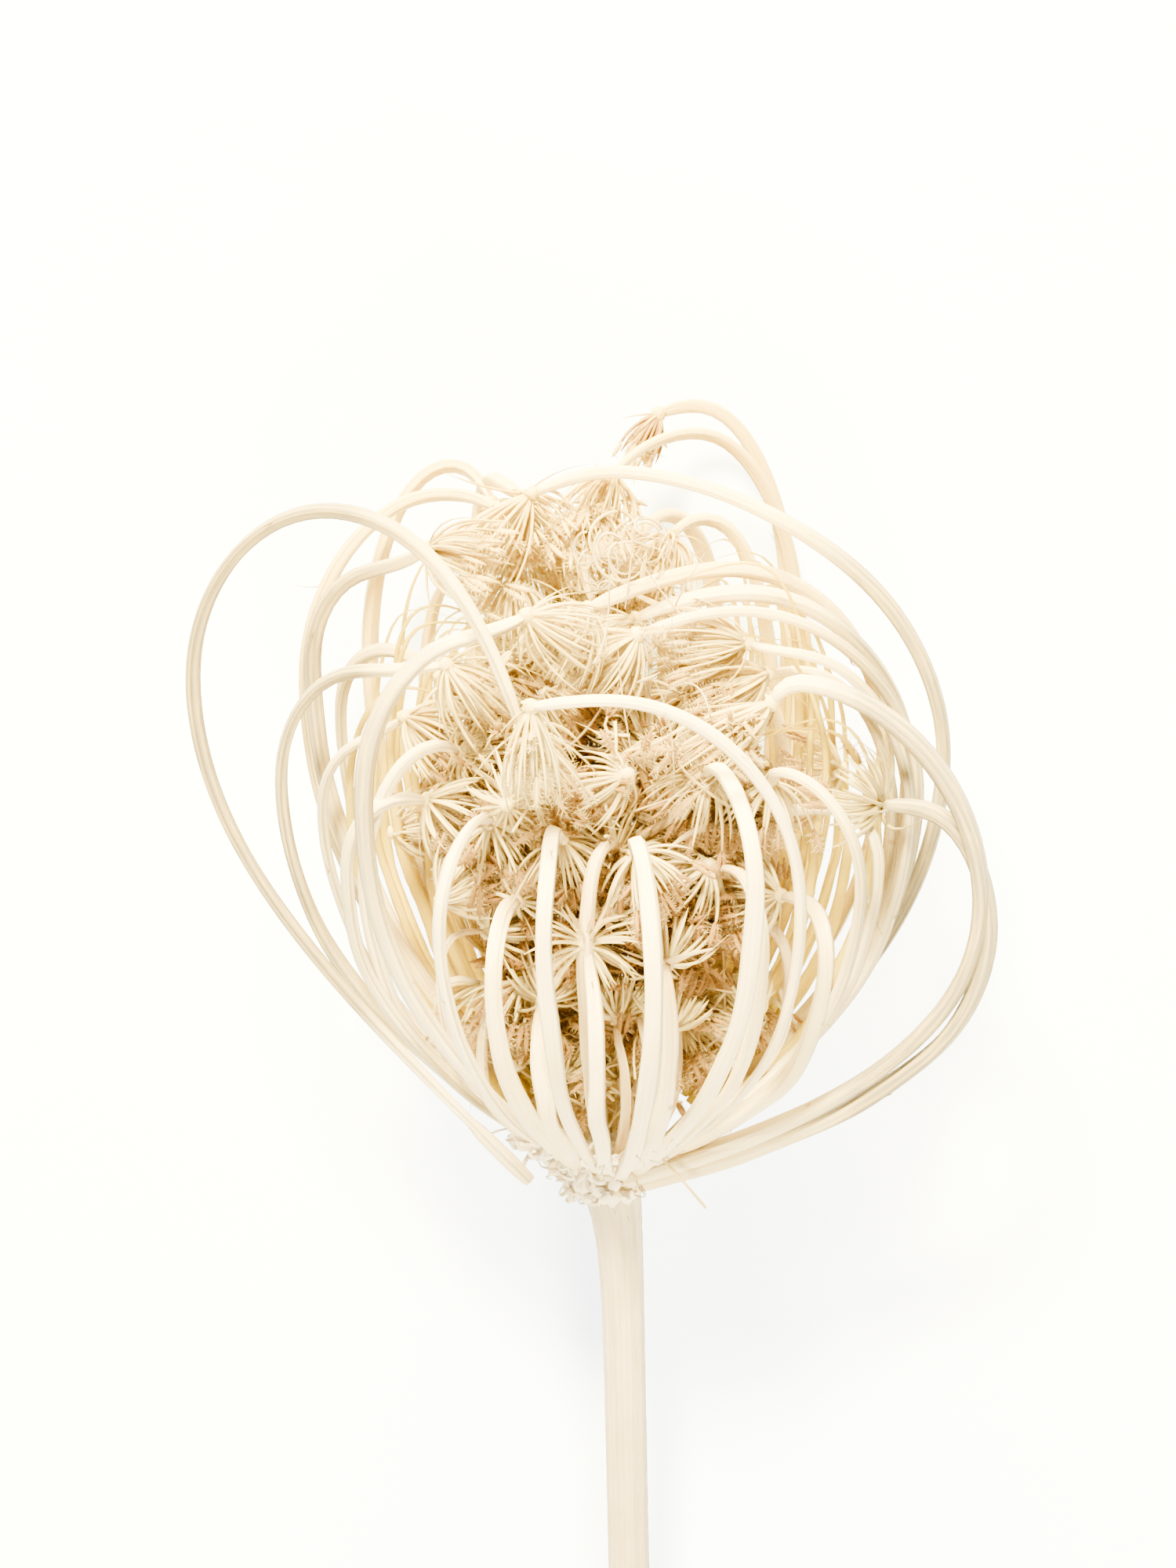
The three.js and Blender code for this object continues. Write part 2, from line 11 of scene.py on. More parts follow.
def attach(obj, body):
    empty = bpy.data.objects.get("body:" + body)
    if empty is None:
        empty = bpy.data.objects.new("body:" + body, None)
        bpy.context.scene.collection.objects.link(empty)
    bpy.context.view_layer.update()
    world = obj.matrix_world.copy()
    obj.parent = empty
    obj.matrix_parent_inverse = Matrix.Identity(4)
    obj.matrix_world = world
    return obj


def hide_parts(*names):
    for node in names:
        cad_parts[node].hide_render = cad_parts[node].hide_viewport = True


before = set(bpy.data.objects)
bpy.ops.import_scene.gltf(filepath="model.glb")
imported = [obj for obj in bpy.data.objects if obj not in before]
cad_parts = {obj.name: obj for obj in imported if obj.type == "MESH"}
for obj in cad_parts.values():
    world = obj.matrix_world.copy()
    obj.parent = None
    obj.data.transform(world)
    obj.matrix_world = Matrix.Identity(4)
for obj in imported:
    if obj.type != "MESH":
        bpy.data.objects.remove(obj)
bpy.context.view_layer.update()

MM = 0.001
SEED = 7
TABLE_GAP = 0.02 * MM

# The flower frame: origin on top of the receptacle, z along the stem towards the head, -y front.
# It lies in the part's frame with this lean and roll, and with its origin at this place.
LEAN = math.radians(11.524)
ROLL = math.radians(-0.293)
HEAD_PLACE = (1.546, 11.082, 19.937)

STEM_LENGTH = 92
STEM_RADIUS = 1.82
STEM_FLARE = 0.72
STEM_FLARE_LENGTH = 4.6
STEM_SHIFT = 0.9
STEM_DRIFT = 0.016
STEM_BOW = 1
STEM_RIDGES = 10
RECEPTACLE_RADIUS = 4.6
RECEPTACLE_DEPTH = 3.6
RAY_FOOT_RADIUS = 0.54
RAY_TIP_RADIUS = 0.56
RAY_SWELL = 0.18
RAY_FLATNESS = 0.8
RAY_SIDES = 16
RAY_STEP = 1.3
RAY_WANDER = 0.16
RAY_GIRTHS = (0.9, 1.12)
RAY_UNEVEN = 0.05
RAY_TIP_TAPER = (0.95, 0.82, 0.55)
SHORT_RAY_GIRTH = 0.7
STOUT_FOOT = 0.5
STOUT_FOOT_SHARE = 0.12
BROKEN_FOOT_RADII = (0.78, 0.88, 0.92, 0.9, 0.88, 0.84)
FRONT_REACH = 15
FRONT_WIDENING = 0.04
FRONT_FLATTENING = 0.2
RIB_HEIGHT = 0.07
GROOVE_DEPTH = 0.2
GROOVE_WIDTH = 0.5
SECTION_WEAR = 0.04
CURVE_POINTS = 40
HOOK_POINTS = 16
RAY_LEAVING = 0.5
RAY_CLIMB = 0.3
RAY_FULL = 0.55
RAY_HOOK = 0.45
OUTER_REACH = 26
FOOT_RING = 3.1
FOOT_RISE = -0.6
FOOT_INNER_RISE = 2
SHOULDER_ROUND = 0.55
CREST_ROUND = 0.5
HUB_RADIUS = 1.1
HUB_GAP = 0.3
HUB_FAN = 52
NEST_PULL = 0.8
NEST_CENTRE = np.array((0, 0, 44))
NEST_RISES = (2, 8, 14, 22, 30, 38, 46, 54, 61)
NEST_REACHES = (4, 8.5, 12.5, 16.5, 19, 20, 18.5, 13.5, 6)
KNOB_RADIUS = 0.68
KNOB_ROUGHNESS = 0.16
PEDICELS = 46
PEDICEL_LENGTH = 8.4
PEDICEL_RADIUS = 0.165
PEDICEL_TAPER = np.array((1.4, 1.15, 1.05, 1, 0.95, 0.9, 0.85, 0.8))
PEDICEL_TRIES = 14
RAY_MARGIN = 0.1
BRACTEOLES = 6
BRACTEOLE_RADII = 0.17 * np.array((1, 1.2, 1.1, 0.9, 0.7, 0.4, 0.1))
FRUIT_KINDS = 4
FRUIT_LENGTH = 2.8
MERICARP_SHARES = np.array((0, 0.25, 0.65, 1))
MERICARP_RADII = np.array((0.1, 0.3, 0.3, 0.06))
MERICARP_OFFSET = 0.2
BRISTLE_ROWS = np.radians((-80, -28, 28, 80))
BRISTLES_A_ROW = 4
BRISTLE_LENGTHS = (0.35, 0.8)
BRISTLE_RADIUS = 0.05
CORE_FRUITS = 6
PACKED_TRIES = 620
GOLDEN_TURN = 137.508
SHED_UMBELLETS = 32
SHED_TRIES = 4000
SHED_GAP = 4.8
SHED_RAY_GAP = 1.3
TOP_SHED_PLACE = np.array((-8.6, 6.5, 53.5))


def arch(bulge, crest, tip, **rest):
    """A ray by its widest point, its crest and its tip."""
    return dict(bulge=bulge, crest=crest, tip=tip, **rest)


# A thinner ray inside the nest
short = partial(arch, girth=SHORT_RAY_GIRTH)

# Each point of a ray is [turn, reach, rise]: degrees round the stem from the front towards +x, then
# millimetres out from the stem's line and up it. foot is the ray's start, climb and full bend its
# way out, and girth scales its thickness. Of its umbellet, aim is the direction, fan the half angle
# in degrees, size the scale, hollow the share of its middle with no pedicels, fruit the share of
# outer pedicels with a fruit, core the scale of the fruits' number inside and aged the browning.
RAYS = [
    # left side
    arch([-85, 29, 37.5], [-78, 22, 48.8], [-72, 16.4, 49.2], aim=[0.6, 0.2, -0.8]),
    arch([-54, 26, 41.6], [-43, 17.6, 54.6], [-37, 13.6, 55.2], aim=[0.7, 0.4, -0.5]),
    arch([-111, 29.4, 42.3], [-135, 23.7, 58], [-137, 15.7, 58.7]),
    arch([-98, 26.7, 47], [-102, 21.7, 54.9], [-100, 17.1, 56.8]),
    arch([-130, 29, 42], [-145, 26, 59.7], [-148, 21, 57.8]),
    arch([-107, 25.4, 41.2], [-104, 19.9, 47.6], [-105, 16.8, 45.9]),
    arch([-88, 25.5, 35.4], [-90, 21.3, 40.9], [-92, 19.3, 41.6], aim=[0.8, 0, -0.6]),
    arch([-72, 24.3, 31.4], [-70, 19.9, 37.9], [-71, 17.9, 37.4], aim=[0.8, 0.1, -0.5]),
    arch([-73, 22.5, 29], [-69, 16, 42.6], [-72, 14.3, 41.5]),
    arch([-33.7, 26, 32.7], [-39, 18.1, 38.6], [-45, 14.8, 37.2], aim=[0.3, 0.3, -0.9]),
    arch([-24.5, 24, 27.8], [-28.4, 19, 31.1], [-34.7, 14.5, 30.2], fruit=0.5),
    arch([-20.2, 18, 18.4], [-22, 16, 20.2], [-26.6, 13, 20.1], fruit=0.4),
    # front
    arch([-11.7, 26.7, 33.1], [-15.1, 19, 39.1], [-18.1, 14, 36.9], aim=[0.2, 0.2, -0.9]),
    arch([7.8, 26.5, 28.9], [7, 19, 38.4], [8, 15, 36.4], aim=[0.4, 0.2, -0.9]),
    arch([-7, 17.5, 29], [-3, 14.5, 36.3], [2, 10.5, 34.5], fruit=0.5),
    arch([-3.1, 22, 21.5], [-4.8, 19.2, 26], [-6, 17.9, 27.1], aim=[0, -0.95, -0.1], fan=78,
         fruit=0.1, hollow=0.25, core=0),
    arch([14.1, 21, 20.6], [14.7, 19, 25.2], [17.2, 16, 25.2], fruit=0.4),
    arch([6.6, 12, 13.2], [4, 11.5, 16.2], [2, 10, 17], girth=0.6, fruit=0.3),
    arch([26.4, 27.5, 36.7], [30.3, 19, 43.8], [40, 13.1, 41.4], aim=[-0.3, 0.3, -0.9]),
    arch([40.4, 25.1, 32.4], [-3.2, 23, 52.6], [-15.3, 21.7, 51.4], aim=[0, 0, -1], fan=35),
    arch([33.6, 23.5, 29], [40, 17.8, 33.4], [42, 14.2, 32.9], aim=[-0.6, 0.2, -0.8]),
    # right side
    arch([52.4, 23.6, 26.1], [57.6, 20.9, 29.5], [62.5, 17.7, 29.1], aim=[-0.9, 0.2, -0.2]),
    arch([54.8, 26.2, 33.7], [55, 18.8, 41.7], [62, 15.7, 40], aim=[-0.2, 0.1, -1]),
    arch([68, 25.2, 34.3], [78, 21, 35.8], [80, 16.5, 35.2]),
    arch([72, 33.8, 29.6], [63, 16.9, 49], [62, 16.2, 48.2], full=0.5, climb=0.25, girth=1.25,
         foot=[-0.2, -3.3, -0.7], aim=[-0.8, -0.1, -0.6], size=1.35, fan=34, core=9),
    arch([73, 34.4, 26.5], [75, 28.5, 37.1], [75, 25.8, 37.1], full=0.5, climb=0.25, girth=1.25,
         foot=[0.6, -3.1, -1.3], aim=[-0.8, 0, 0.4], size=1.2, fan=60, fruit=0.2, core=0),
    arch([92, 27.1, 35.4], [74, 10.5, 53.6], [44, 5.3, 52.3], aim=[-0.6, 0, -0.7]),
    arch([84, 26.3, 34.6], [76, 16, 50.1], [78, 13.2, 50.2], aim=[-1, 0, -0.1]),
    arch([93, 25, 33], [90, 16.4, 47.3], [88, 15, 47.3]),
    arch([103, 27.3, 35.5], [98, 10.3, 53.8], [105, 3.5, 52.1]),
    arch([112, 26.5, 36.5], [110, 9.4, 55.4], [-16, 3.6, 54.5]),
    arch([95, 29.5, 38.5], [175, 8, 62.9], [-139, 8.8, 61.8], aim=[-0.6, -0.2, -0.8], size=1.3,
         fan=36, girth=1.3),
    # back, right to left
    arch([142, 24, 36.5], [154, 20, 55.6], [158, 15, 55.4]),
    arch([142, 28, 41.5], [159, 21.5, 63], [177, 14, 61.5]),
    arch([148, 31, 43], [163, 27, 63.9], [168, 24.6, 63.8], aim=[-0.5, -0.3, -0.9], fan=40,
         size=0.6, aged=0.8, fruit=2),
    arch([160, 29, 40], [168, 21, 55], [172, 16, 53.5]),
    arch([169, 26, 38], [176, 22, 52], [180, 17, 50.5]),
    arch([179, 26, 41], [186, 20, 58], [189, 13, 58]),
    arch([189, 26, 39], [193, 22, 53], [195, 17, 52]),
    arch([199, 29, 41], [203, 23, 56], [205, 18, 55]),
    arch([209, 26.5, 40], [211, 21, 59.5], [214, 15, 59.5]),
    arch([219, 27.5, 38], [220, 22, 50], [222, 17, 49]),
    # inside the nest
    arch([125, 19, 34], [130, 14, 44], [133, 10, 43]),
    arch([170, 18, 34], [176, 13, 43], [180, 9, 42]),
    arch([215, 19, 35], [222, 13, 45], [230, 8.5, 44]),
    arch([-105, 18, 31], [-108, 13, 38], [-112, 9, 37]),
    short([40, 9, 12], [44, 8, 20], [50, 5.5, 21]),
    short([-62, 17, 20], [-62, 16, 25.6], [-62, 13.6, 25.2]),
    short([68, 17, 20], [68, 15.4, 25.8], [68, 12.8, 25.4]),
    short([128, 13, 20], [132, 11, 28], [138, 8, 29]),
    short([192, 13, 19], [196, 11, 26], [200, 8, 26.5]),
    short([-115, 12, 15], [-117, 10, 19], [-120, 7, 19.5]),
    short([95, 4, 24], [95, 3.6, 36], [95, 2.5, 39]),
    short([-20, 5, 22], [-20, 4.6, 28], [-20, 3.8, 30]),
    short([-50, 15, 14], [-52, 13.5, 19.5], [-56, 10.5, 19.5], aim=[-0.3, -0.5, -0.8]),
    short([62, 13, 10], [62, 11.5, 15], [60, 8.5, 15.3], aim=[0.4, -0.5, -0.7]),
]

# Deep in the nest: these short rays and their umbellets are in the rays' own solid
DEEP_RAYS = [
    short([98, 15.8, 14], [98, 14.8, 18], [98, 12.5, 17.5], aim=[0.2, -0.4, -0.9]),
    short([-92, 15.8, 14], [-92, 14.8, 18], [-92, 12.5, 17.5], aim=[-0.2, -0.4, -0.9]),
    short([-140, 15.8, 19], [-140, 15, 23.5], [-140, 12.8, 23], aim=[0.2, -0.3, -0.9]),
    short([155, 10.5, 14], [155, 9.8, 17.5], [155, 7.5, 17], aim=[0.3, -0.7, -0.6]),
    short([-155, 10.5, 12], [-155, 9.5, 15], [-155, 7.2, 14.5], aim=[-0.4, -0.6, -0.6]),
    short([12, 6.8, 7], [12, 6.3, 10.4], [12, 4.2, 10], aim=[-0.2, -0.1, 1]),
]

# The ray that broke off at its foot and hangs by its tip
LOOSE_RAY = arch([-78, 36.7, 48.7], [-62, 25.8, 65.6], [-24.4, 19.1, 49.4],
                 foot=[-7.4, -6.6, 1.2], full=0.69, climb=0.44)

# Withered flat rays behind the nest, by their turn round the stem in degrees
STRAPS = [*range(-165, -90, 3), *range(82, 160, 3)]

# Torn bract remnants round the receptacle: [turn, length, width, upward slope]
BRACTS = [
    [-74, 4.8, 3, 0.4], [-34, 2.4, 3.4, 0.05], [18, 2.6, 3.6, -0.15],
    [70, 3, 2.8, 0], [128, 3.8, 3, -0.2], [196, 3.2, 3.2, -0.1],
]

rng = np.random.default_rng(SEED)
uniform, random = rng.uniform, rng.random


# Shapes

def unit(vectors):
    vectors = np.asarray(vectors, float)
    return vectors / np.linalg.norm(vectors, axis=-1, keepdims=True)


def place(turn, reach, rise):
    """A point by its turn round the stem in degrees, its reach from it and its rise."""
    angle = math.radians(turn)
    return np.array((reach * math.sin(angle), -reach * math.cos(angle), rise))


def bezier(points, steps):
    """Points along one or many Bezier curves of any degree, evenly in their parameter."""
    along = np.linspace(0, 1, steps)[:, None]
    level = [np.asarray(point, float)[..., None, :] for point in points]
    while len(level) > 1:
        level = [a * (1 - along) + b * along for a, b in zip(level, level[1:])]
    return level[0]


def evenly(line, step):
    """The same line with its points a steady step apart."""
    lengths = np.r_[0, np.cumsum(np.linalg.norm(np.diff(line, axis=0), axis=1))]
    count = max(4, round(lengths[-1] / step))
    return along_line(line, lengths, np.linspace(0, lengths[-1], count + 1))


def squared(side, ahead):
    """Makes side vectors square to the way ahead."""
    return unit(side - np.sum(side * ahead, axis=-1, keepdims=True) * ahead)


def carried(side, line):
    """Side vectors along one line, carried on with no twist."""
    sides = []
    for direction in unit(np.gradient(line, axis=0)):
        side = squared(side, direction)
        sides.append(side)
    return np.array(sides)


def ramp(values, low, high):
    """0 at low and 1 at high, and flat past them."""
    return np.clip((values - low) / (high - low), 0, 1)


def wobble():
    """A random vector."""
    return rng.normal(size=3)


def circle(sides):
    """The angles of a section's sides."""
    return 2 * np.pi * np.arange(sides) / sides


def roughened(radii, sides, amount):
    """A tube's radii for every station and side, a little uneven."""
    return radii[:, None] * (1 + amount * rng.normal(size=(len(radii), sides)))


def columns(rows):
    """An array of each row's first values, one of their second values and so on."""
    return [np.array(values) for values in zip(*rows)]


def along_line(line, stations, wanted):
    """The line's points at the wanted places among its stations."""
    return np.stack([np.interp(wanted, stations, values) for values in line.T], axis=-1)


def spun(onwards):
    """Random side vectors, and the rotations that turn fruits to these directions."""
    side = squared(rng.normal(size=(len(onwards), 3)), onwards)
    return side, np.stack([side, np.cross(onwards, side), onwards], axis=2)


def new_object(name, data):
    """An object of this data, in the scene."""
    item = bpy.data.objects.new(name, data)
    bpy.context.scene.collection.objects.link(item)
    return item


MARKS = ("tone", "along", "around", "tint", "fair")


class Shape:
    """Gathers closed tubes and spikes, with their marks for the materials, into one mesh."""

    def __init__(self):
        self.points, self.quads, self.tris, self.count = [], [], [], 0
        self.marks = {name: [] for name in MARKS}

    def add(self, points, quads, tris, **marks):
        points = points.reshape(-1, 3)
        self.points.append(points)
        self.quads.append(quads.reshape(-1, 4) + self.count)
        self.tris.append(tris.reshape(-1, 3) + self.count)
        for name, values in self.marks.items():
            values.append(np.broadcast_to(marks.get(name, 0), len(points)).astype(float))
        self.count += len(points)

    def tubes(self, lines, radii, side, sides, flat=1, turned=0, **marks):
        """Closed tubes along many lines of the same number of stations.

        lines is (tubes, stations, 3), radii (tubes, stations) or (tubes, stations, sides), and
        side (tubes, 3) or (tubes, stations, 3). flat squeezes each section, turned rotates it.
        turned and the marks may differ by tube and station.
        """
        lines = np.asarray(lines, float)
        tubes, stations = lines.shape[:2]
        ahead = unit(np.gradient(lines, axis=1))
        side = squared(np.reshape(side, (tubes, -1, 3)), ahead)
        up = np.cross(ahead, side)
        turned = np.asarray(turned)[..., None]
        side, up = (side * np.cos(turned) + up * np.sin(turned),
                    up * np.cos(turned) - side * np.sin(turned))
        angles = circle(sides)
        radii = np.reshape(radii, (tubes, stations, -1))
        rings = (lines[:, :, None, :]
                 + (radii * np.cos(angles))[..., None] * side[:, :, None, :]
                 + (radii * np.sin(angles) * flat)[..., None] * up[:, :, None, :])
        ends = np.stack([lines[:, 0], lines[:, -1]], axis=1)
        points = np.concatenate([rings.reshape(tubes, -1, 3), ends], axis=1)
        quads, tris = tube_faces(stations, sides)
        starts = points.shape[1] * np.arange(tubes)[:, None, None]
        lengths = np.cumsum(np.linalg.norm(np.diff(lines, axis=1), axis=2), axis=1)
        marks["along"] = np.concatenate([np.zeros((tubes, 1)), lengths], axis=1)
        for name, values in marks.items():
            values = np.broadcast_to(values, (tubes, stations))
            values = np.concatenate([np.repeat(values, sides, axis=1), values[:, [0, -1]]], axis=1)
            marks[name] = values.ravel()
        marks["around"] = np.tile(np.r_[np.tile(np.arange(sides) / sides, stations), 0, 0], tubes)
        self.add(points, quads + starts, tris + starts, **marks)

    def tube(self, line, radii, side, sides, **settings):
        """One closed tube."""
        self.tubes([line], [radii], [side], sides, **settings)

    def spikes(self, roots, tips, width, tone):
        """Thin closed spikes, each with a three-sided foot."""
        ahead = unit(tips - roots)
        side = squared((0.31, 0.43, 0.85), ahead)
        up = np.cross(ahead, side)
        feet = [roots + width * (math.cos(angle) * side + math.sin(angle) * up)
                for angle in (0, 2 * math.pi / 3, 4 * math.pi / 3)]
        points = np.stack([*feet, tips], axis=1)
        faces = np.array(((0, 2, 1), (0, 1, 3), (1, 2, 3), (2, 0, 3)))
        starts = 4 * np.arange(len(roots))[:, None, None]
        self.add(points, np.zeros(0, int), faces + starts,
                 tone=np.tile((tone, tone, tone, 0.4 * tone), len(roots)))

    def stamp(self, other, turns, places, scales, tint, fade=1):
        """Repeats another shape with many rotations, places and sizes, its tone lowered where painted
        light pales it.
        """
        points = np.concatenate(other.points)
        moved = np.einsum("nij,pj->npi", turns, points) * scales[:, None, None] + places[:, None, :]
        offsets = len(points) * np.arange(len(places))[:, None, None]
        marks = {name: np.tile(np.concatenate(values), len(places))
                 for name, values in other.marks.items()}
        marks["tint"] = np.repeat(tint, len(points))
        marks["tone"] = marks["tone"] * fade
        self.add(moved, np.concatenate(other.quads) + offsets, np.concatenate(other.tris) + offsets,
                 **marks)

    def build(self, name, slot, material, node):
        """Makes the piece, which rides on the part's body in place of the node."""
        points = np.concatenate(self.points)
        depth, weather = nest_depth(points)
        points = to_part(points)
        points[:, 2] = np.maximum(points[:, 2], TABLE_GAP)
        faces = np.concatenate(self.quads).tolist() + np.concatenate(self.tris).tolist()
        mesh = bpy.data.meshes.new(name)
        mesh.from_pydata(points.tolist(), [], faces)
        for mark, values in [*self.marks.items(), ("depth", [depth]), ("weather", [weather])]:
            layer = mesh.attributes.new(mark, "FLOAT", "POINT")
            layer.data.foreach_set("value", np.concatenate(values).astype(np.float32))
        mesh.polygons.foreach_set("use_smooth", np.ones(len(mesh.polygons), bool))
        mesh.update()
        mesh.materials.append(material)
        piece = new_object(name, mesh)
        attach(piece, "root")
        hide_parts(node)


def tube_faces(stations, sides):
    """The faces of one tube whose two end points follow its rings."""
    ring = np.arange(sides)
    after = (ring + 1) % sides
    rows = sides * np.arange(stations - 1)[:, None]
    quads = np.stack([rows + ring, rows + after, rows + sides + after, rows + sides + ring], axis=-1)
    last = sides * (stations - 1)
    first_end = np.full(sides, stations * sides)
    tris = np.concatenate([np.stack([first_end, after, ring], axis=-1),
                           np.stack([first_end + 1, last + ring, last + after], axis=-1)])
    return quads.reshape(-1, 4), tris


TO_PART = (Matrix.Translation(Vector(HEAD_PLACE)) @ Matrix.Rotation(ROLL, 4, "Y")
           @ Matrix.Rotation(LEAN - math.pi / 2, 4, "X"))


def to_part(points):
    """Millimetres in the flower frame to metres in the part's frame."""
    matrix = np.array(TO_PART)
    return (points @ matrix[:3, :3].T + matrix[:3, 3]) * MM


def nest_depth(points):
    """How deep inside the nest a point lies, 0 at the rays and 1 at its middle, for the painted shade in
    the nest, and how far out on the side rays a point lies, for their painted grey shade.
    """
    rise = points[:, 2]
    wall = 3 + 24 * np.sin(np.pi * ramp(rise, -6, 70)) ** 0.8
    share = np.hypot(points[:, 0], points[:, 1]) / wall
    middle = ramp(rise, 55, 29) * ramp(rise, 3, 21)
    side = ramp(np.abs(points[:, 0]), 14, 22) * ramp(points[:, 1], 14, 4)
    # The second value marks the outer parts of the side rays for painted grey shade
    return ramp(share, 1, 0) * middle, ramp(share, 0.75, 1) * side


# Rays

def ray_line(ray):
    """A ray's line in three curves: out to its widest point, up to its crest, in to its tip."""
    turn, reach, rise = ray["bulge"]
    inner = max(0, 1 - reach / OUTER_REACH)
    foot = place(turn, FOOT_RING * (1 - inner), FOOT_RISE + FOOT_INNER_RISE * inner)
    foot = np.array(ray.get("foot", foot), float)
    bulge, crest, tip = (place(*ray[name]) for name in ("bulge", "crest", "tip"))
    leaving = foot + place(turn, RAY_LEAVING * reach, ray.get("climb", RAY_CLIMB) * rise)
    arriving = place(turn, reach, ray.get("full", RAY_FULL) * rise)
    back = (bulge - crest) * (1, 1, 0)
    rising = bulge + (0, 0, SHOULDER_ROUND * (crest[2] - bulge[2]))
    hook = RAY_HOOK * np.linalg.norm(crest - tip)
    past = crest - unit(back) * hook
    end = unit(tip - past)
    hub = tip + end * (HUB_RADIUS + HUB_GAP)
    line = np.concatenate([
        bezier([foot, leaving, arriving, bulge], CURVE_POINTS),
        bezier([bulge, rising, crest + CREST_ROUND * back, crest], CURVE_POINTS)[1:],
        bezier([crest, past, tip], HOOK_POINTS)[1:],
        hub[None, :],
    ])
    return evenly(line, RAY_STEP), hub, end


def smoothed(line):
    """The line with its sharp turns eased and its ends kept."""
    line = line.copy()
    for _ in range(3):
        line[1:-1] = (line[:-2] + 2 * line[1:-1] + line[2:]) / 4
    return line


def waved(line, size):
    """The line with a slow wander that dies out at its two ends."""
    along = np.linspace(0, 1, len(line))
    wander = sum(np.sin(2 * np.pi * (along * waves + random()))[:, None]
                 * wobble() / waves for waves in (2, 3, 5))
    return line + size * wander * np.sin(np.pi * along)[:, None] ** 1.5


def ray_piece(shape, ray, broken=False):
    """Adds one ribbed ray to the shape and returns its line, radii, hub place and end direction."""
    line, hub, end = ray_line(ray)
    line = waved(smoothed(line), RAY_WANDER)
    along = np.linspace(0, 1, len(line))
    turn, reach, _ = ray["bulge"]
    girth = ray.get("girth", 1) * uniform(*RAY_GIRTHS)
    radii = ((1 - along) * RAY_FOOT_RADIUS + along * RAY_TIP_RADIUS
             + RAY_SWELL * np.sin(np.pi * along)) * girth
    radii *= 1 + RAY_UNEVEN * np.sin(2 * np.pi * (along * uniform(2, 4) + random()))
    front = max(0, math.cos(math.radians(turn))) ** 2 * (reach > FRONT_REACH)
    radii *= 1 + FRONT_WIDENING * front
    radii[-3:] *= RAY_TIP_TAPER
    if broken:
        radii[:6] = BROKEN_FOOT_RADII
    elif "foot" in ray:
        radii *= 1 + STOUT_FOOT * np.exp(-along / STOUT_FOOT_SHARE)
    angles = circle(RAY_SIDES)
    squarish = (np.abs(np.cos(angles)) ** 3 + np.abs(np.sin(angles)) ** 3) ** (-1 / 3)
    ribs = 1 + RIB_HEIGHT * np.cos(RAY_SIDES / 2 * angles)
    groove = -GROOVE_DEPTH * np.exp(-((angles - np.pi / 2) / GROOVE_WIDTH) ** 2)
    worn = 1 + SECTION_WEAR * rng.normal(size=RAY_SIDES)
    section = radii[:, None] * (squarish * ribs + groove) * worn
    side = carried(place(turn + 90, 1, 0), line)
    twist = rng.normal() * 0.5 * along + 0.3 * rng.normal()
    flat = RAY_FLATNESS * uniform(0.8, 1.05) * (1 - FRONT_FLATTENING * front)
    shape.tube(line, section, side, RAY_SIDES, flat=flat, turned=twist, tint=random(),
               tone=0.15 * random())
    return line, radii, hub, end


def fibres(shape, line, radii, count, first, last, length):
    """Thin torn fibres that leave a ray's surface between two shares of its length."""
    for _ in range(count):
        at = min(max(int(len(line) * uniform(first, last)), 1), len(line) - 2)
        ahead = unit(line[at + 1] - line[at - 1])
        out = squared(wobble(), ahead)
        reach = length * uniform(0.4, 1.4)
        way = ahead * rng.choice((-1, 1)) * uniform(0.5, 1)
        root = line[at] + out * radii[at] * 0.7
        bend = root + (way + 0.3 * out) * reach * 0.5
        tip = bend + (way * uniform(0, 0.6) + out * uniform(0.3, 1)
                      + 0.3 * wobble()) * reach * 0.6
        strand = bezier([root, bend, tip], 5)
        width = uniform(0.04, 0.1)
        shape.tube(strand, width * np.array((1, 0.9, 0.7, 0.5, 0.2)), out, 3, tint=random(),
                   tone=0.1)


# Umbellets

def seed_fruit():
    """One bristly fruit of two slender mericarps, along z from its foot."""
    fruit = Shape()
    share = MERICARP_SHARES
    for hand in (-1, 1):
        gape = uniform(0.05, 0.5)
        apart = MERICARP_OFFSET + 0.1 * np.sin(np.pi * share) + gape * share ** 2
        line = np.stack([hand * apart, 0 * share, share * FRUIT_LENGTH], axis=1)
        fruit.tube(line, MERICARP_RADII, (0, 1, 0), 5, flat=0.8, tone=0.85)
        roots, tips = [], []
        for row, angle in enumerate(BRISTLE_ROWS):
            out = np.array((hand * math.cos(angle), math.sin(angle), 0))
            for step in range(BRISTLES_A_ROW):
                at = (step + 0.5 + 0.4 * (row % 2)) / (BRISTLES_A_ROW + 0.6)
                centre = along_line(line, share, at)
                lean = (0, 0, 0.3) + 0.22 * wobble()
                roots.append(centre + out * 0.2)
                tips.append(centre + out * 0.3 + (out + lean) * uniform(*BRISTLE_LENGTHS))
        fruit.spikes(np.array(roots), np.array(tips), BRISTLE_RADIUS, 0.25)
    return fruit


def fan_out(hub, off, turn):
    """Directions from a hub by their angle off its axis and turn round it, in radians."""
    off, turn = np.asarray(off)[..., None], np.asarray(turn)[..., None]
    return (hub.axis * np.cos(off) + hub.across * np.sin(off) * np.cos(turn)
            + hub.upright * np.sin(off) * np.sin(turn))


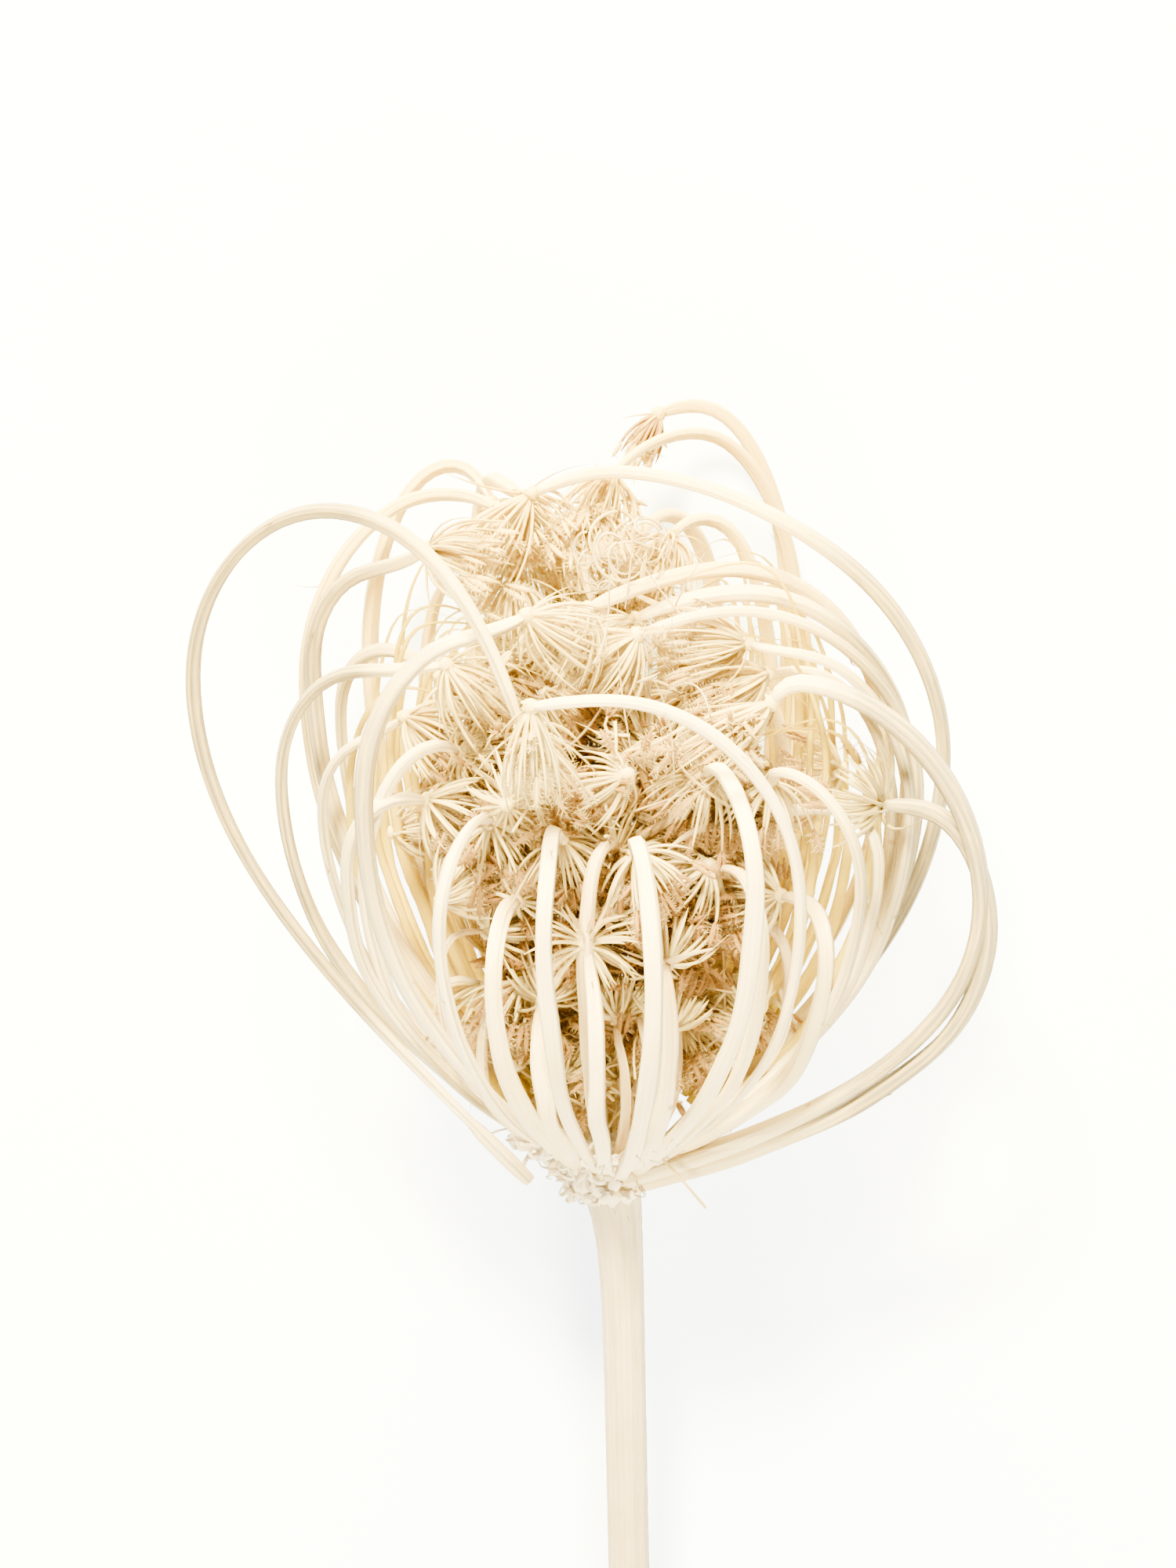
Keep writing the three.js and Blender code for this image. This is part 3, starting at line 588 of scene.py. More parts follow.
def make_hub(ray, centre, end):
    """An umbellet's settings: the ray's own, or else by its height, with its axes in the flower frame."""
    rise = centre[2]
    pulled_to = (0, 0, np.interp(rise, (30, 50, 62), (44, 36, 28)))
    axis = unit(ray["aim"]) if "aim" in ray else unit(end + NEST_PULL * unit(pulled_to - centre))
    across = squared((0.36, 0.48, 0.8), axis)
    own = {"fan": HUB_FAN, "size": 1, "hollow": 0, "core": 1, "aged": 0,
           "fruit": np.interp(rise, (46, 54), (1, 0.55)), **ray}
    own["fan"] = math.radians(own["fan"])
    # Fruits are paler towards the nest's top: painted light where the top is brightly lit
    return SimpleNamespace(**own, open=ramp(rise, 46, 36), fade=np.interp(rise, (42, 54), (1, 0.25)),
                           centre=centre, axis=axis, across=across, upright=np.cross(axis, across))


def pedicel(hub, share, turn, shrink):
    """One pedicel's curve: the outer ones are longer, leave wide of the axis and bend back to it."""
    opened = hub.open
    off = hub.fan * math.sqrt(share) * uniform(0.85, 1.15)
    turn = turn + rng.normal() * 0.2
    even = 0.42 + 0.2 * opened + (0.56 - 0.26 * opened) * share
    length = PEDICEL_LENGTH * hub.size * even * uniform(0.88, 1.12) * shrink
    length *= 1 - 0.3 * opened
    leaving = fan_out(hub, min(off * (1.15 + 0.45 * opened), 1.9), turn)
    onward = fan_out(hub, off * (0.15 + 0.65 * opened), turn + rng.normal() * 0.3)
    root = hub.centre + leaving * KNOB_RADIUS * 0.7
    tip = root + unit(leaving + 1.15 * onward) * length * 0.93
    return bezier([root, root + leaving * length * 0.36, tip - onward * length * 0.36, tip], 8), onward


def umbellet(shape, fruits, hub, crowd, owner):
    """Adds one umbellet: a small knob, curved pedicels, bristly fruits and thin bracteoles."""
    centre, axis = hub.centre, hub.axis
    share = np.linspace(-1, 1, 9)
    knob = centre + axis * share[:, None] * KNOB_RADIUS * 1.1
    around = np.sqrt(np.clip(1 - share ** 2, 0.02, 1)) * KNOB_RADIUS
    rough = roughened(around, 12, KNOB_ROUGHNESS)
    shape.tube(knob, rough, hub.across, 12, tint=random(), tone=0.15, fair=1)
    kept = []
    count = round(PEDICELS * (1 - 0.12 * hub.open))
    for index in range(count):
        share = hub.hollow + (1 - hub.hollow) * (index + 0.5) / count
        turn = math.radians(GOLDEN_TURN * index)
        for attempt in range(PEDICEL_TRIES):
            line, onward = pedicel(hub, share, turn + 0.12 * attempt, 1 - 0.03 * attempt)
            end = line[-1] + onward * FRUIT_LENGTH * 0.5
            if crowd(np.r_[line[2:], [end]], owner):
                bearing = hub.fruit * np.interp(share, (0.3, 0.45), (1, 0.16))
                kept.append((line, onward, random() < bearing))
                break
    lines, onwards, fruited = columns(kept)
    radii = PEDICEL_TAPER * PEDICEL_RADIUS * uniform(0.8, 1.25, size=(len(lines), 1))
    radii *= 1 + 0.1 * hub.open
    radii[~fruited, -2:] *= (0.7, 0.2)
    tint = random((len(lines), 1))
    tone = np.linspace(0, 0.1, 8) + 0.08 * random((len(lines), 1)) + hub.aged
    shape.tubes(lines, radii, squared(axis, onwards), 4, flat=0.8, tint=tint, tone=tone, fair=1)
    places = lines[fruited][:, -1]
    _, turns = spun(onwards[fruited])
    scales = hub.size * uniform(0.7, 1.05, size=len(places))
    kinds = rng.integers(len(fruits), size=len(places))
    for kind, fruit in enumerate(fruits):
        chosen = kinds == kind
        shape.stamp(fruit, turns[chosen], places[chosen], scales[chosen],
                    tint[fruited, 0][chosen], hub.fade)
    fruit_core(shape, fruits, hub, crowd, owner)
    bracteoles(shape, hub)


def fruit_core(shape, fruits, hub, crowd, owner):
    """Fruits held loosely inside the pedicels' cage."""
    kept = []
    for _ in range(round(CORE_FRUITS * hub.size * hub.core)):
        onward = fan_out(hub, hub.fan * 0.75 * random(), uniform(0, 2 * np.pi))
        at = hub.centre + onward * hub.size * uniform(2.2, 5)
        onward = unit(onward + 0.7 * wobble())
        if crowd([at, at + onward * FRUIT_LENGTH], owner):
            kept.append((at, onward))
    if kept:
        places, onwards = columns(kept)
        _, turns = spun(onwards)
        shape.stamp(fruits[rng.integers(len(fruits))], turns, places,
                    uniform(0.7, 1, size=len(kept)), random(len(kept)), hub.fade)


def bracteoles(shape, hub):
    """Thin pointed leaflets round an umbellet's foot, bent outwards."""
    count = BRACTEOLES
    turn = 2 * np.pi * (np.arange(count) + random(count)) / count
    off = hub.fan * uniform(0.9, 1.7, size=count)
    length = hub.size * uniform(3, 8, size=(count, 1))
    leaving = fan_out(hub, off, turn)
    root = hub.centre + leaving * KNOB_RADIUS * 0.6
    tip = root + length * unit(leaving + 0.6 * hub.axis + 0.25 * rng.normal(size=(count, 3)))
    middle = root + leaving * length * 0.5
    lines = bezier([root, middle, tip], 7)
    radii = BRACTEOLE_RADII * uniform(0.8, 1.3, size=(count, 1))
    shape.tubes(lines, radii, fan_out(hub, off, turn + np.pi / 2), 4, flat=0.4,
                tint=random((count, 1)), tone=np.linspace(0.05, 0.2, 7))


def nest_reach(rise):
    """How far out from the stem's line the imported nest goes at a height."""
    return np.interp(rise, NEST_RISES, NEST_REACHES)


def shed_hubs(hubs, gap_to_rays):
    """Hubs of umbellets that dropped into the nest, set where it is emptiest."""
    sparse = {"fruit": 0.5, "core": 0}
    shed = [make_hub({**sparse, "size": 1.1, "aim": [0.1, -0.5, -0.85]}, TOP_SHED_PLACE, None)]
    for _ in range(SHED_TRIES):
        rise = uniform(9, 44)
        turn = uniform(-180, 180)
        room = 0.85 if abs(turn) < 50 else 1.06
        centre = place(turn, nest_reach(rise) * uniform(0.7, 1) * room, rise)
        taken = [hub.centre for hub in hubs + shed]
        apart = np.linalg.norm(np.array(taken) - centre, axis=1).min()
        if apart > SHED_GAP and gap_to_rays(centre) > SHED_RAY_GAP:
            end = unit(NEST_CENTRE * 0.8 - centre + 8 * wobble())
            shed.append(make_hub({**sparse, "size": 0.85}, centre, end))
        if len(shed) == SHED_UMBELLETS:
            break
    return shed


def packed_fruits(shape, fruits, crowd):
    """Shed fruits and broken pedicels, packed between the umbellets."""
    kept = []
    for _ in range(PACKED_TRIES):
        rise = uniform(4, 46)
        reach = nest_reach(rise) * np.interp(rise, (10, 16), (0.95, 0.72)) * uniform(0.2, 1) ** 0.5
        at = place(uniform(-180, 180), reach, rise)
        onward = unit(wobble() + 0.8 * unit(at - NEST_CENTRE * 0.7))
        gap = abs(at[0] - 5) < 5 and at[1] < -1 and abs(rise - 35) < 5
        if random() < reach / 12 and not gap and crowd([at, at + onward * FRUIT_LENGTH], -1):
            kept.append((at, onward))
    places, onwards = columns(kept)
    side, turns = spun(onwards)
    tint = random((len(kept), 1))
    kinds = rng.integers(len(fruits), size=len(places))
    for kind, fruit in enumerate(fruits):
        chosen = kinds == kind
        shape.stamp(fruit, turns[chosen], places[chosen], uniform(0.7, 1.1, size=chosen.sum()),
                    tint[chosen, 0])
    bends = onwards + 0.5 * rng.normal(size=onwards.shape)
    lengths = uniform(2, 5, size=(len(places), 1))
    lines = bezier([places - bends * lengths, places - onwards * lengths * 0.5, places], 5)
    radii = PEDICEL_RADIUS * uniform(0.7, 1.1, size=(len(places), 1)) * np.ones(5)
    shape.tubes(lines, radii, side, 4, tint=tint, tone=0.25)


# Receptacle and torn bracts

RECEPTACLE_RISES = np.array((-3.6, -3, -2.4, -1.8, -1.2, -0.6, 0, 0.5, 1, 1.5, 2, 2.3))
RECEPTACLE_RADII = np.array((2.4, 2.65, 2.9, 3.3, 3.7, 3.95, 4, 3.8, 3.4, 2.6, 1.5, 0.5))
RECEPTACLE_SIDES = 64
LUMP_WAVES = ((7, 0.8), (13, -1.1), (21, 0.9), (32, 2))
LUMP_HEIGHT = 0.045
BRACT_STRIPS = 9
BRACT_ROOT = (RECEPTACLE_RADIUS - 1.9, -1.2)
BRACT_TAPER = np.array((1.1, 1.1, 1, 0.9, 0.8, 0.65, 0.4))
HEAP_STRIPS = 300
HEAP_TURN = -52
HEAP_SPREAD = 26
HEAP_TAPER = np.array((0.4, 0.85, 1.1, 1.15, 1, 0.75, 0.4))
TORN_ROUGHNESS = 0.15


def receptacle(shape):
    """The swollen, lumpy top of the stem."""
    turn = circle(RECEPTACLE_SIDES)
    rise = RECEPTACLE_RISES[:, None]
    lumps = sum(np.sin(turn * waves + rise * lean + random() * 6) / waves ** 0.6
                for waves, lean in LUMP_WAVES)
    section = RECEPTACLE_RADII[:, None] * (1 + LUMP_HEIGHT * lumps)
    shape.tube(rise * (0, 0, 1), section, (1, 0, 0), RECEPTACLE_SIDES, tone=0.12, tint=0.5)


def bract(shape, turn, length, width, slope):
    """A torn bract remnant: narrow ragged strips side by side from one root."""
    outward = unit(place(turn, 1, slope + 0.35))
    side = place(turn + 90, 1, 0)
    for strip in range(BRACT_STRIPS):
        across = (strip / (BRACT_STRIPS - 1) - 0.5) * width
        reach = length * uniform(0.15, 0.85)
        root = place(turn, *BRACT_ROOT) + side * across * 0.9
        droop = np.array((0, 0, 1)) * uniform(-0.3, 0.5)
        bend = root + outward * (1.2 + reach * 0.5) + droop * 0.4
        tip = root + outward * (1.2 + reach) + side * across * 0.2 + droop * 1.2
        tip = tip + 0.25 * wobble()
        rough = roughened(BRACT_TAPER * width / BRACT_STRIPS * 0.8, 6, TORN_ROUGHNESS)
        shape.tube(bezier([root, bend, tip], 7), rough, side, 6, flat=0.4, turned=0.3 * rng.normal())


def torn_heap(shape):
    """Whitish torn lumps and strips that cling under the rays' feet, thickest on the left."""
    for index in range(HEAP_STRIPS):
        left = index % 5 > 0
        turn = rng.normal(HEAP_TURN, HEAP_SPREAD) if left else uniform(-180, 180)
        rise = uniform(-2, 5.5) if left else uniform(-2.4, 0.4)
        reach = 2.9 + 1.15 * max(rise + 0.6, 0) + uniform(0, 1 if left else 0.6)
        root = place(turn, reach, rise)
        along = unit(place(turn, 0.8, 1)) * rng.choice((-1, 1))
        way = unit(along + 0.7 * wobble())
        out = unit(place(turn, 1, -0.8))
        lump = index % 3 > 0
        length = uniform(0.6, 1.6) if lump else uniform(1.2, 3)
        thick = uniform(0.3, 0.65) if lump else uniform(0.14, 0.3)
        curl = out * uniform(0.1, 0.8) + 0.35 * wobble()
        strip = bezier([root - way * 0.4, root + (way * 0.5 + curl) * length, root + way * length], 7)
        rough = roughened(HEAP_TAPER * thick, 8, TORN_ROUGHNESS)
        shape.tube(strip, rough, np.cross(way, out), 8, flat=0.7 if lump else 0.4,
                   tint=0.3 * random(), tone=0.5 * random() ** 2, fair=1)


# Loose strands in and behind the nest

LOBES = 10
LOBE_PLACE = (5, -2, 34.5)
THREADS = 160
CURLS = 26
CURL_PLACE = (0.7, 2.5, 56.5)
STRAP_REACHES = (17.5, 24)
STRAP_RISES = (30, 42)
STRAP_CRESTS = (8, 17)
STRAP_WIDTHS = (0.5, 0.95)


def nest_lobes(shape):
    """Flat yellow lobes that show in the gap at the middle of the front."""
    for _ in range(LOBES):
        middle = LOBE_PLACE + wobble() * (2.8, 1.6, 2.2)
        way = unit((-0.6, 0.1, 0.75) + 0.3 * wobble())
        strand = bezier([middle - way * 5, middle + wobble() * 1.5, middle + way * 5], 10)
        radii = np.interp(np.arange(10), (0, 4, 9), (0.5, 1, 0.6)) * uniform(0.45, 0.85)
        shape.tube(strand, radii, wobble(), 6, flat=0.2,
                   turned=np.linspace(0, rng.normal(), 10), tint=1, fair=0.4)


def nest_threads(shape):
    """Thin bract lobes and old straps that wander up through the nest."""
    for index in range(THREADS):
        turn = uniform(-180, 180)
        rise = uniform(2, 54)
        root = place(turn, nest_reach(rise) * uniform(0.2, 0.8), rise)
        way = unit(wobble() * (1, 1, 0.6) + (0, 0, 0.9))
        length = uniform(6, 17) * (1 if rise < 44 else 0.6)
        bend = root + way * length * 0.5 + wobble() * 2
        strand = bezier([root, bend, root + way * length + wobble() * 2.5], 12)
        if (np.hypot(strand[:, 0], strand[:, 1]) > nest_reach(strand[:, 2]) + 2).any():
            continue
        strap = index % 5 == 0
        width = uniform(0.4, 0.65) if strap else uniform(0.08, 0.16)
        radii = np.interp(np.arange(12), (0, 3, 11), (0.6, 1, 0.25)) * width
        shape.tube(strand, radii, wobble(), 6, flat=0.25 if strap else 0.7,
                   turned=np.linspace(0, rng.normal(), 12), tint=random(), tone=0.2)


def top_curls(shape):
    """Curled threads in the crown of the nest."""
    for _ in range(CURLS):
        middle = CURL_PLACE + wobble() * (2.2, 1.5, 1.6)
        wide = uniform(0.9, 3.4)
        start, sweep = uniform(0, 2 * np.pi), uniform(2.2, 4.8)
        angle = start + np.linspace(0, sweep, 14)[:, None]
        tilt = unit(0.4 * wobble() + (0, -1, 0.4))
        across = squared((1, 0, 0), tilt)
        ring = np.cos(angle) * across + np.sin(angle) * np.cross(tilt, across)
        curl = middle + ring * wide * np.linspace(1, 0.7, 14)[:, None]
        radii = np.interp(np.arange(14), (0, 4, 13), (0.8, 1, 0.4)) * uniform(0.09, 0.17)
        shape.tube(curl, radii, tilt, 5, tint=random(), tone=0.05)


def straps(shape):
    """Withered flat rays behind the nest, thin enough for light to come through."""
    for turn in STRAPS:
        turn = turn + 2 * rng.normal()
        reach, rise = uniform(*STRAP_REACHES), uniform(*STRAP_RISES)
        high = rise + uniform(*STRAP_CRESTS)
        ray = arch([turn, reach, rise], [turn, reach - uniform(3, 6), high],
                   [turn, reach - 11, high - uniform(-1, 3)])
        line = waved(smoothed(ray_line(ray)[0]), 0.5)[6:]
        along = np.linspace(0, 1, len(line))
        width = uniform(*STRAP_WIDTHS) * np.sin(np.pi * (0.08 + 0.84 * along)) ** 0.5
        rough = roughened(width * (1.1 - along), 6, 0.07)
        side = carried((1, 0.3 * rng.normal(), 0), line)
        shape.tube(line, rough, side, 6, flat=0.3, turned=0.5 * rng.normal() * along,
                   tint=uniform(0.4, 1))


# Stem

STEM_OVERLAP = 0.8
STEM_STATIONS = 130
STEM_SIDES = 80
STEM_RIDGE_HEIGHT = 0.09
STEM_FINE_RIDGE_HEIGHT = 0.02


def stem_piece(material):
    """The ridged stem, from its cut end up into the receptacle."""
    shape = Shape()
    top = RECEPTACLE_DEPTH - STEM_OVERLAP
    below = np.linspace(0, STEM_LENGTH - top, STEM_STATIONS)
    drift = STEM_SHIFT * (1 - np.exp(-below / STEM_FLARE_LENGTH)) + STEM_DRIFT * below
    bow = -STEM_BOW * np.sin(np.pi * below / STEM_LENGTH)
    line = np.stack([drift, bow, -top - below], axis=1)[::-1]
    radii = (STEM_RADIUS + STEM_FLARE * np.exp(-below / STEM_FLARE_LENGTH))[::-1]
    turn = circle(STEM_SIDES)
    ridges = (STEM_RIDGE_HEIGHT * (np.abs(np.cos(STEM_RIDGES / 2 * turn)) - 0.6)
              + STEM_FINE_RIDGE_HEIGHT * np.cos(2.5 * STEM_RIDGES * turn))
    worn = (0.012 * np.sin(turn * 3 + line[:, 2:] * 0.11)
            + 0.006 * rng.normal(size=(STEM_STATIONS, STEM_SIDES)))
    section = radii[:, None] * (1 + ridges + worn)
    section[0] *= 0.97
    tone = np.interp(np.arange(STEM_STATIONS), (0, 1, 3), (0.55, 0.2, 0.06))
    shape.tube(line, section, (1, 0, 0), STEM_SIDES, tint=0.4, tone=tone)
    cut_end(shape, line[0], radii[0])
    fibres(shape, line, radii, 26, 0.02, 0.98, 0.9)
    fibres(shape, line, radii, 14, 0.95, 0.99, 1.6)
    shape.build("stem_ridged", "stem", material, "stem")


def cut_end(shape, centre, radius):
    """Short cut fibres round the stem's end."""
    for _ in range(26):
        turn = uniform(0, 2 * np.pi)
        out = np.array((math.cos(turn), math.sin(turn), 0))
        root = centre + out * radius * uniform(0.6, 0.9) + (0, 0, 0.8)
        tip = root + (0, 0, -0.85) + 0.12 * wobble() * (1, 1, 0)
        shape.tube(np.linspace(root, tip, 3), (0.14, 0.13, 0.07), out, 4, tone=0.35,
                   tint=random())


# Materials

class Nodes:
    """Short names for the shader nodes that the materials use."""

    def __init__(self, name):
        self.material = bpy.data.materials.new(name)
        self.material.use_nodes = True
        self.tree = self.material.node_tree
        self.shader = self.tree.nodes["Principled BSDF"]
        self.place = self.new("TexCoord", output="Object")

    def put(self, value, socket):
        """Links a socket, or sets a number or a colour."""
        if isinstance(value, bpy.types.NodeSocket):
            self.tree.links.new(value, socket)
        else:
            colour = isinstance(value, tuple) and len(socket.default_value) > len(value)
            socket.default_value = (*value, 1) if colour else value

    def new(self, kind, inputs=(), output=0, **settings):
        """Adds a node, fills its inputs and returns one of its outputs."""
        node = self.tree.nodes.new("ShaderNode" + kind)
        for name, value in settings.items():
            setattr(node, name, value)
        for name, value in dict(inputs).items():
            self.put(value, node.inputs[name])
        return node.outputs[output]

    def mark(self, name):
        return self.new("Attribute", output="Fac", attribute_name=name)

    def times(self, first, second):
        return self.new("Math", {0: first, 1: second}, operation="MULTIPLY")

    def plus(self, first, second):
        return self.new("Math", {0: first, 1: second}, operation="ADD")

    def total(self, *parts):
        """The sum of these values, each times its weight."""
        return reduce(self.plus, [self.times(value, weight) for value, weight in parts])

    def ramp(self, factor, low, high):
        """0 below low, 1 above high."""
        return self.new("MapRange", {0: factor, 1: low, 2: high})

    def noise(self, vector, scale, detail=3, rough=0.55):
        inputs = {"Vector": vector, "Scale": scale, "Detail": detail, "Roughness": rough}
        return self.new("TexNoise", inputs, "Fac")

    def mix(self, factor, first, second):
        return self.new("Mix", {0: factor, 6: first, 7: second}, 2, data_type="RGBA")

    def join(self, x, y, z):
        return self.new("CombineXYZ", {0: x, 1: y, 2: z})

    def bump(self, height, strength, distance):
        return self.new("Bump", {"Height": height, "Strength": strength, "Distance": distance})

    def skin(self, colour, rough, normal, gloss):
        """Sets the shader's own inputs."""
        for name, value in (("Base Color", colour), ("Roughness", rough), ("Normal", normal),
                            ("Specular IOR Level", gloss)):
            self.put(value, self.shader.inputs[name])


# The grey of the painted shade on the outer side rays, then the hairlines' and the specks' own colours
OUTER_SHADE_GREY = (0.13, 0.11, 0.08)
HAIRLINE = (0.66, 0.5, 0.26)
SPECK = (0.3, 0.15, 0.06)


def plant_material(name, pale, straw, deep, tip, ribs, soft):
    """Dry plant skin: pale in front, straw in blotches and grooves, a painted warm glow at the back and
    towards the head's top, painted golden shade deep in the nest and painted grey shade on the outer side
    rays.

    deep is the colour of the painted shade deep in the nest, ribs the number of grooves round it and soft
    the share of light that passes through it.
    """
    nodes = Nodes(name)
    height = nodes.new("SeparateXYZ", {0: nodes.place}, "Z")
    upward = nodes.new("SeparateXYZ", {0: nodes.place}, "Y")
    tone, along, around, tint, fair = map(nodes.mark, MARKS)
    lengthwise = nodes.join(nodes.times(around, 9), nodes.times(along, 0.12), nodes.times(tint, 37))
    streaks = nodes.noise(lengthwise, 1.6, 4, 0.6)
    finely = nodes.join(nodes.times(around, 60), nodes.times(along, 0.08), tint)
    hairlines = nodes.noise(finely, 1, 2, 0.7)
    grooves = nodes.new("Math", {0: nodes.times(around, 2 * math.pi * ribs)}, operation="COSINE")
    blotches = nodes.noise(nodes.place, 130, 3)
    mottle = nodes.noise(nodes.place, 900, 2)
    specks = nodes.noise(nodes.place, 420, 1)
    # Random straw blotches and tints, plus a painted warm glow towards the table side of the head and
    # towards its top, standing in for warm light shining through there
    warm = nodes.total((blotches, 0.5), (tint, 0.25), (nodes.ramp(height, 0.03, 0.006), 0.6),
                       (nodes.ramp(upward, 0.04, 0.07), 0.35))
    # Painted shade deep in the nest, lighter on the parts marked fair
    shaded = nodes.times(nodes.ramp(nodes.mark("depth"), 0.15, 0.6), nodes.ramp(fair, 1.4, 0))
    colour = pale
    # Each layer's mark or pattern, where it starts and is full, its strength and its colour
    for factor, low, high, strength, over in (
            # The first layer is partly a painted warm glow, the second is painted grey shade on the outer
            # side rays
            (warm, 0.35, 0.9, 1, straw), (nodes.mark("weather"), 0, 1, 0.85, OUTER_SHADE_GREY),
            (streaks, 0.48, 0.75, 0.6, straw), (grooves, 0.2, -0.9, 0.3, straw),
            (hairlines, 0.58, 0.72, 0.3, HAIRLINE), (tone, 0.1, 0.95, 1, tip),
            # The deep layer here is the painted shade in the nest
            (shaded, 0, 1, 0.92, deep), (specks, 0.76, 0.8, 0.6, SPECK)):
        colour = nodes.mix(nodes.times(nodes.ramp(factor, low, high), strength), colour, over)
    rough = nodes.new("MapRange", {0: mottle, 3: 0.45, 4: 0.8})
    relief = nodes.total((streaks, 0.8), (mottle, 0.25), (grooves, 0.08))
    nodes.skin(colour, rough, nodes.bump(relief, 0.8, 0.00025), 0.35)
    glow = nodes.new("BsdfTranslucent", {"Color": nodes.mix(0.7, colour, straw)})
    surface = nodes.new("MixShader", {0: soft, 1: nodes.shader.outputs[0], 2: glow})
    nodes.put(surface, nodes.tree.nodes["Material Output"].inputs["Surface"])
    return nodes.material


# Centre and scale of the painted shadow on the floor under the head
PAINTED_SHADOW_CENTRE = (0.0015, 0.046, 0)
PAINTED_SHADOW_SCALE = (54, 41, 0)


def floor_material():
    """Pale paper that glows as if lit from behind, its glow dimmed under the head as a painted shadow."""
    nodes = Nodes("table_paper")
    colour = nodes.mix(nodes.noise(nodes.place, 14), (0.74, 0.84, 0.93), (0.76, 0.86, 0.95))
    under = nodes.new("VectorMath", {0: nodes.place, 1: PAINTED_SHADOW_CENTRE}, operation="SUBTRACT")
    under = nodes.new("VectorMath", {0: under, 1: PAINTED_SHADOW_SCALE}, operation="MULTIPLY")
    under = nodes.new("VectorMath", {0: under}, "Value", operation="LENGTH")
    # The glow is dimmed near the head: painted shadow
    glow = nodes.plus(nodes.times(nodes.ramp(under, 0.6, 1.15), 3.8), 0.6)
    nodes.put((0.83, 0.87, 1), nodes.shader.inputs["Emission Color"])
    nodes.put(glow, nodes.shader.inputs["Emission Strength"])
    nodes.skin(colour, 0.9, nodes.bump(nodes.noise(nodes.place, 700), 0.12, 0.0004), 0.15)
    return nodes.material


# Setting

FLOOR_HALF = 3
VIEW_HEIGHT = math.radians(25)
VIEW_DISTANCE = 450 * MM
FOCAL_PIXELS = 6300
HUB_PIXEL = (780, 1480)
MIDDLE_PIXEL = (750, 1000)
HEIGHT_PIXELS = 2000
SENSOR = 36

# Each light's name, place, aim, size, power and colour
LIGHTS = [
    ("key", (-0.12, 0.55, 0.6), (0, 0.03, 0.02), 0.14, 82, (1, 0.86, 0.48)),
    ("rim", (-0.05, 0.6, 0.16), (0, 0.045, 0.03), 0.15, 42, (1, 0.79, 0.3)),
    ("front", (0.12, -0.4, 0.6), (0, 0.03, 0.02), 0.25, 30, (1, 0.88, 0.56)),
]
SKY_COLOUR = (1, 0.9, 0.66, 1)
SKY_STRENGTH = 0.42


def make_floor():
    mesh = bpy.data.meshes.new("table_top")
    corners = [(x * FLOOR_HALF, y * FLOOR_HALF, 0) for x, y in ((-1, -1), (1, -1), (1, 1), (-1, 1))]
    mesh.from_pydata(corners, [], [range(4)])
    mesh.materials.append(floor_material())
    floor = new_object("table_top", mesh)


def make_camera():
    """Looks at the head from 25 degrees above its front, from 450 mm, as an upright picture."""
    view = VIEW_HEIGHT - LEAN
    back = Vector((0, math.sin(view), math.cos(view)))
    up = Vector((0, math.cos(view), -math.sin(view)))
    right = Vector((1, 0, 0))
    aim = (-back * FOCAL_PIXELS + right * (MIDDLE_PIXEL[0] - HUB_PIXEL[0])
           + up * (HUB_PIXEL[1] - MIDDLE_PIXEL[1])).normalized()
    turned_up = (up - aim * up.dot(aim)).normalized()
    turn = Matrix((aim.cross(turned_up), turned_up, -aim)).transposed().to_4x4()
    data = bpy.data.cameras.new("camera")
    data.sensor_fit = "VERTICAL"
    data.sensor_height = SENSOR
    data.lens = FOCAL_PIXELS / HEIGHT_PIXELS * SENSOR
    data.clip_start = 0.01
    camera = new_object("camera", data)
    camera.matrix_world = Matrix.Translation(Vector(HEAD_PLACE) * MM + back * VIEW_DISTANCE) @ turn
    bpy.context.scene.camera = camera


def make_light():
    """A warm sky and three disk lights."""
    world = bpy.data.worlds.new("soft_sky")
    world.use_nodes = True
    background = world.node_tree.nodes["Background"]
    background.inputs["Color"].default_value = SKY_COLOUR
    background.inputs["Strength"].default_value = SKY_STRENGTH
    bpy.context.scene.world = world
    for name, place_at, aim_at, size, power, colour in LIGHTS:
        data = bpy.data.lights.new(name, "AREA")
        data.shape = "DISK"
        data.size = size
        data.energy = power
        data.color = colour
        turn = (Vector(aim_at) - Vector(place_at)).to_track_quat("-Z", "Y").to_matrix().to_4x4()
        new_object(name, data).matrix_world = Matrix.Translation(place_at) @ turn


# The plant

class Clearance:
    """Tells how near a point is to the rays."""

    def __init__(self, grown):
        self.stations = [(owner, at > len(line) - 4, radii[at])
                         for owner, (line, radii, *_) in enumerate(grown) for at in range(len(line))]
        self.tree = kdtree.KDTree(len(self.stations))
        for index, point in enumerate(np.concatenate([line for line, *_ in grown])):
            self.tree.insert(point, index)
        self.tree.balance()

    def gap(self, point):
        return self.tree.find(point)[2]

    def clear(self, points, owner):
        """Whether a pedicel's points all keep clear of the rays, apart from its own ray's end."""
        for point in points:
            _, index, distance = self.tree.find(point)
            near, near_end, radius = self.stations[index]
            if not (near == owner and near_end) and distance < radius + RAY_MARGIN:
                return False
        return True


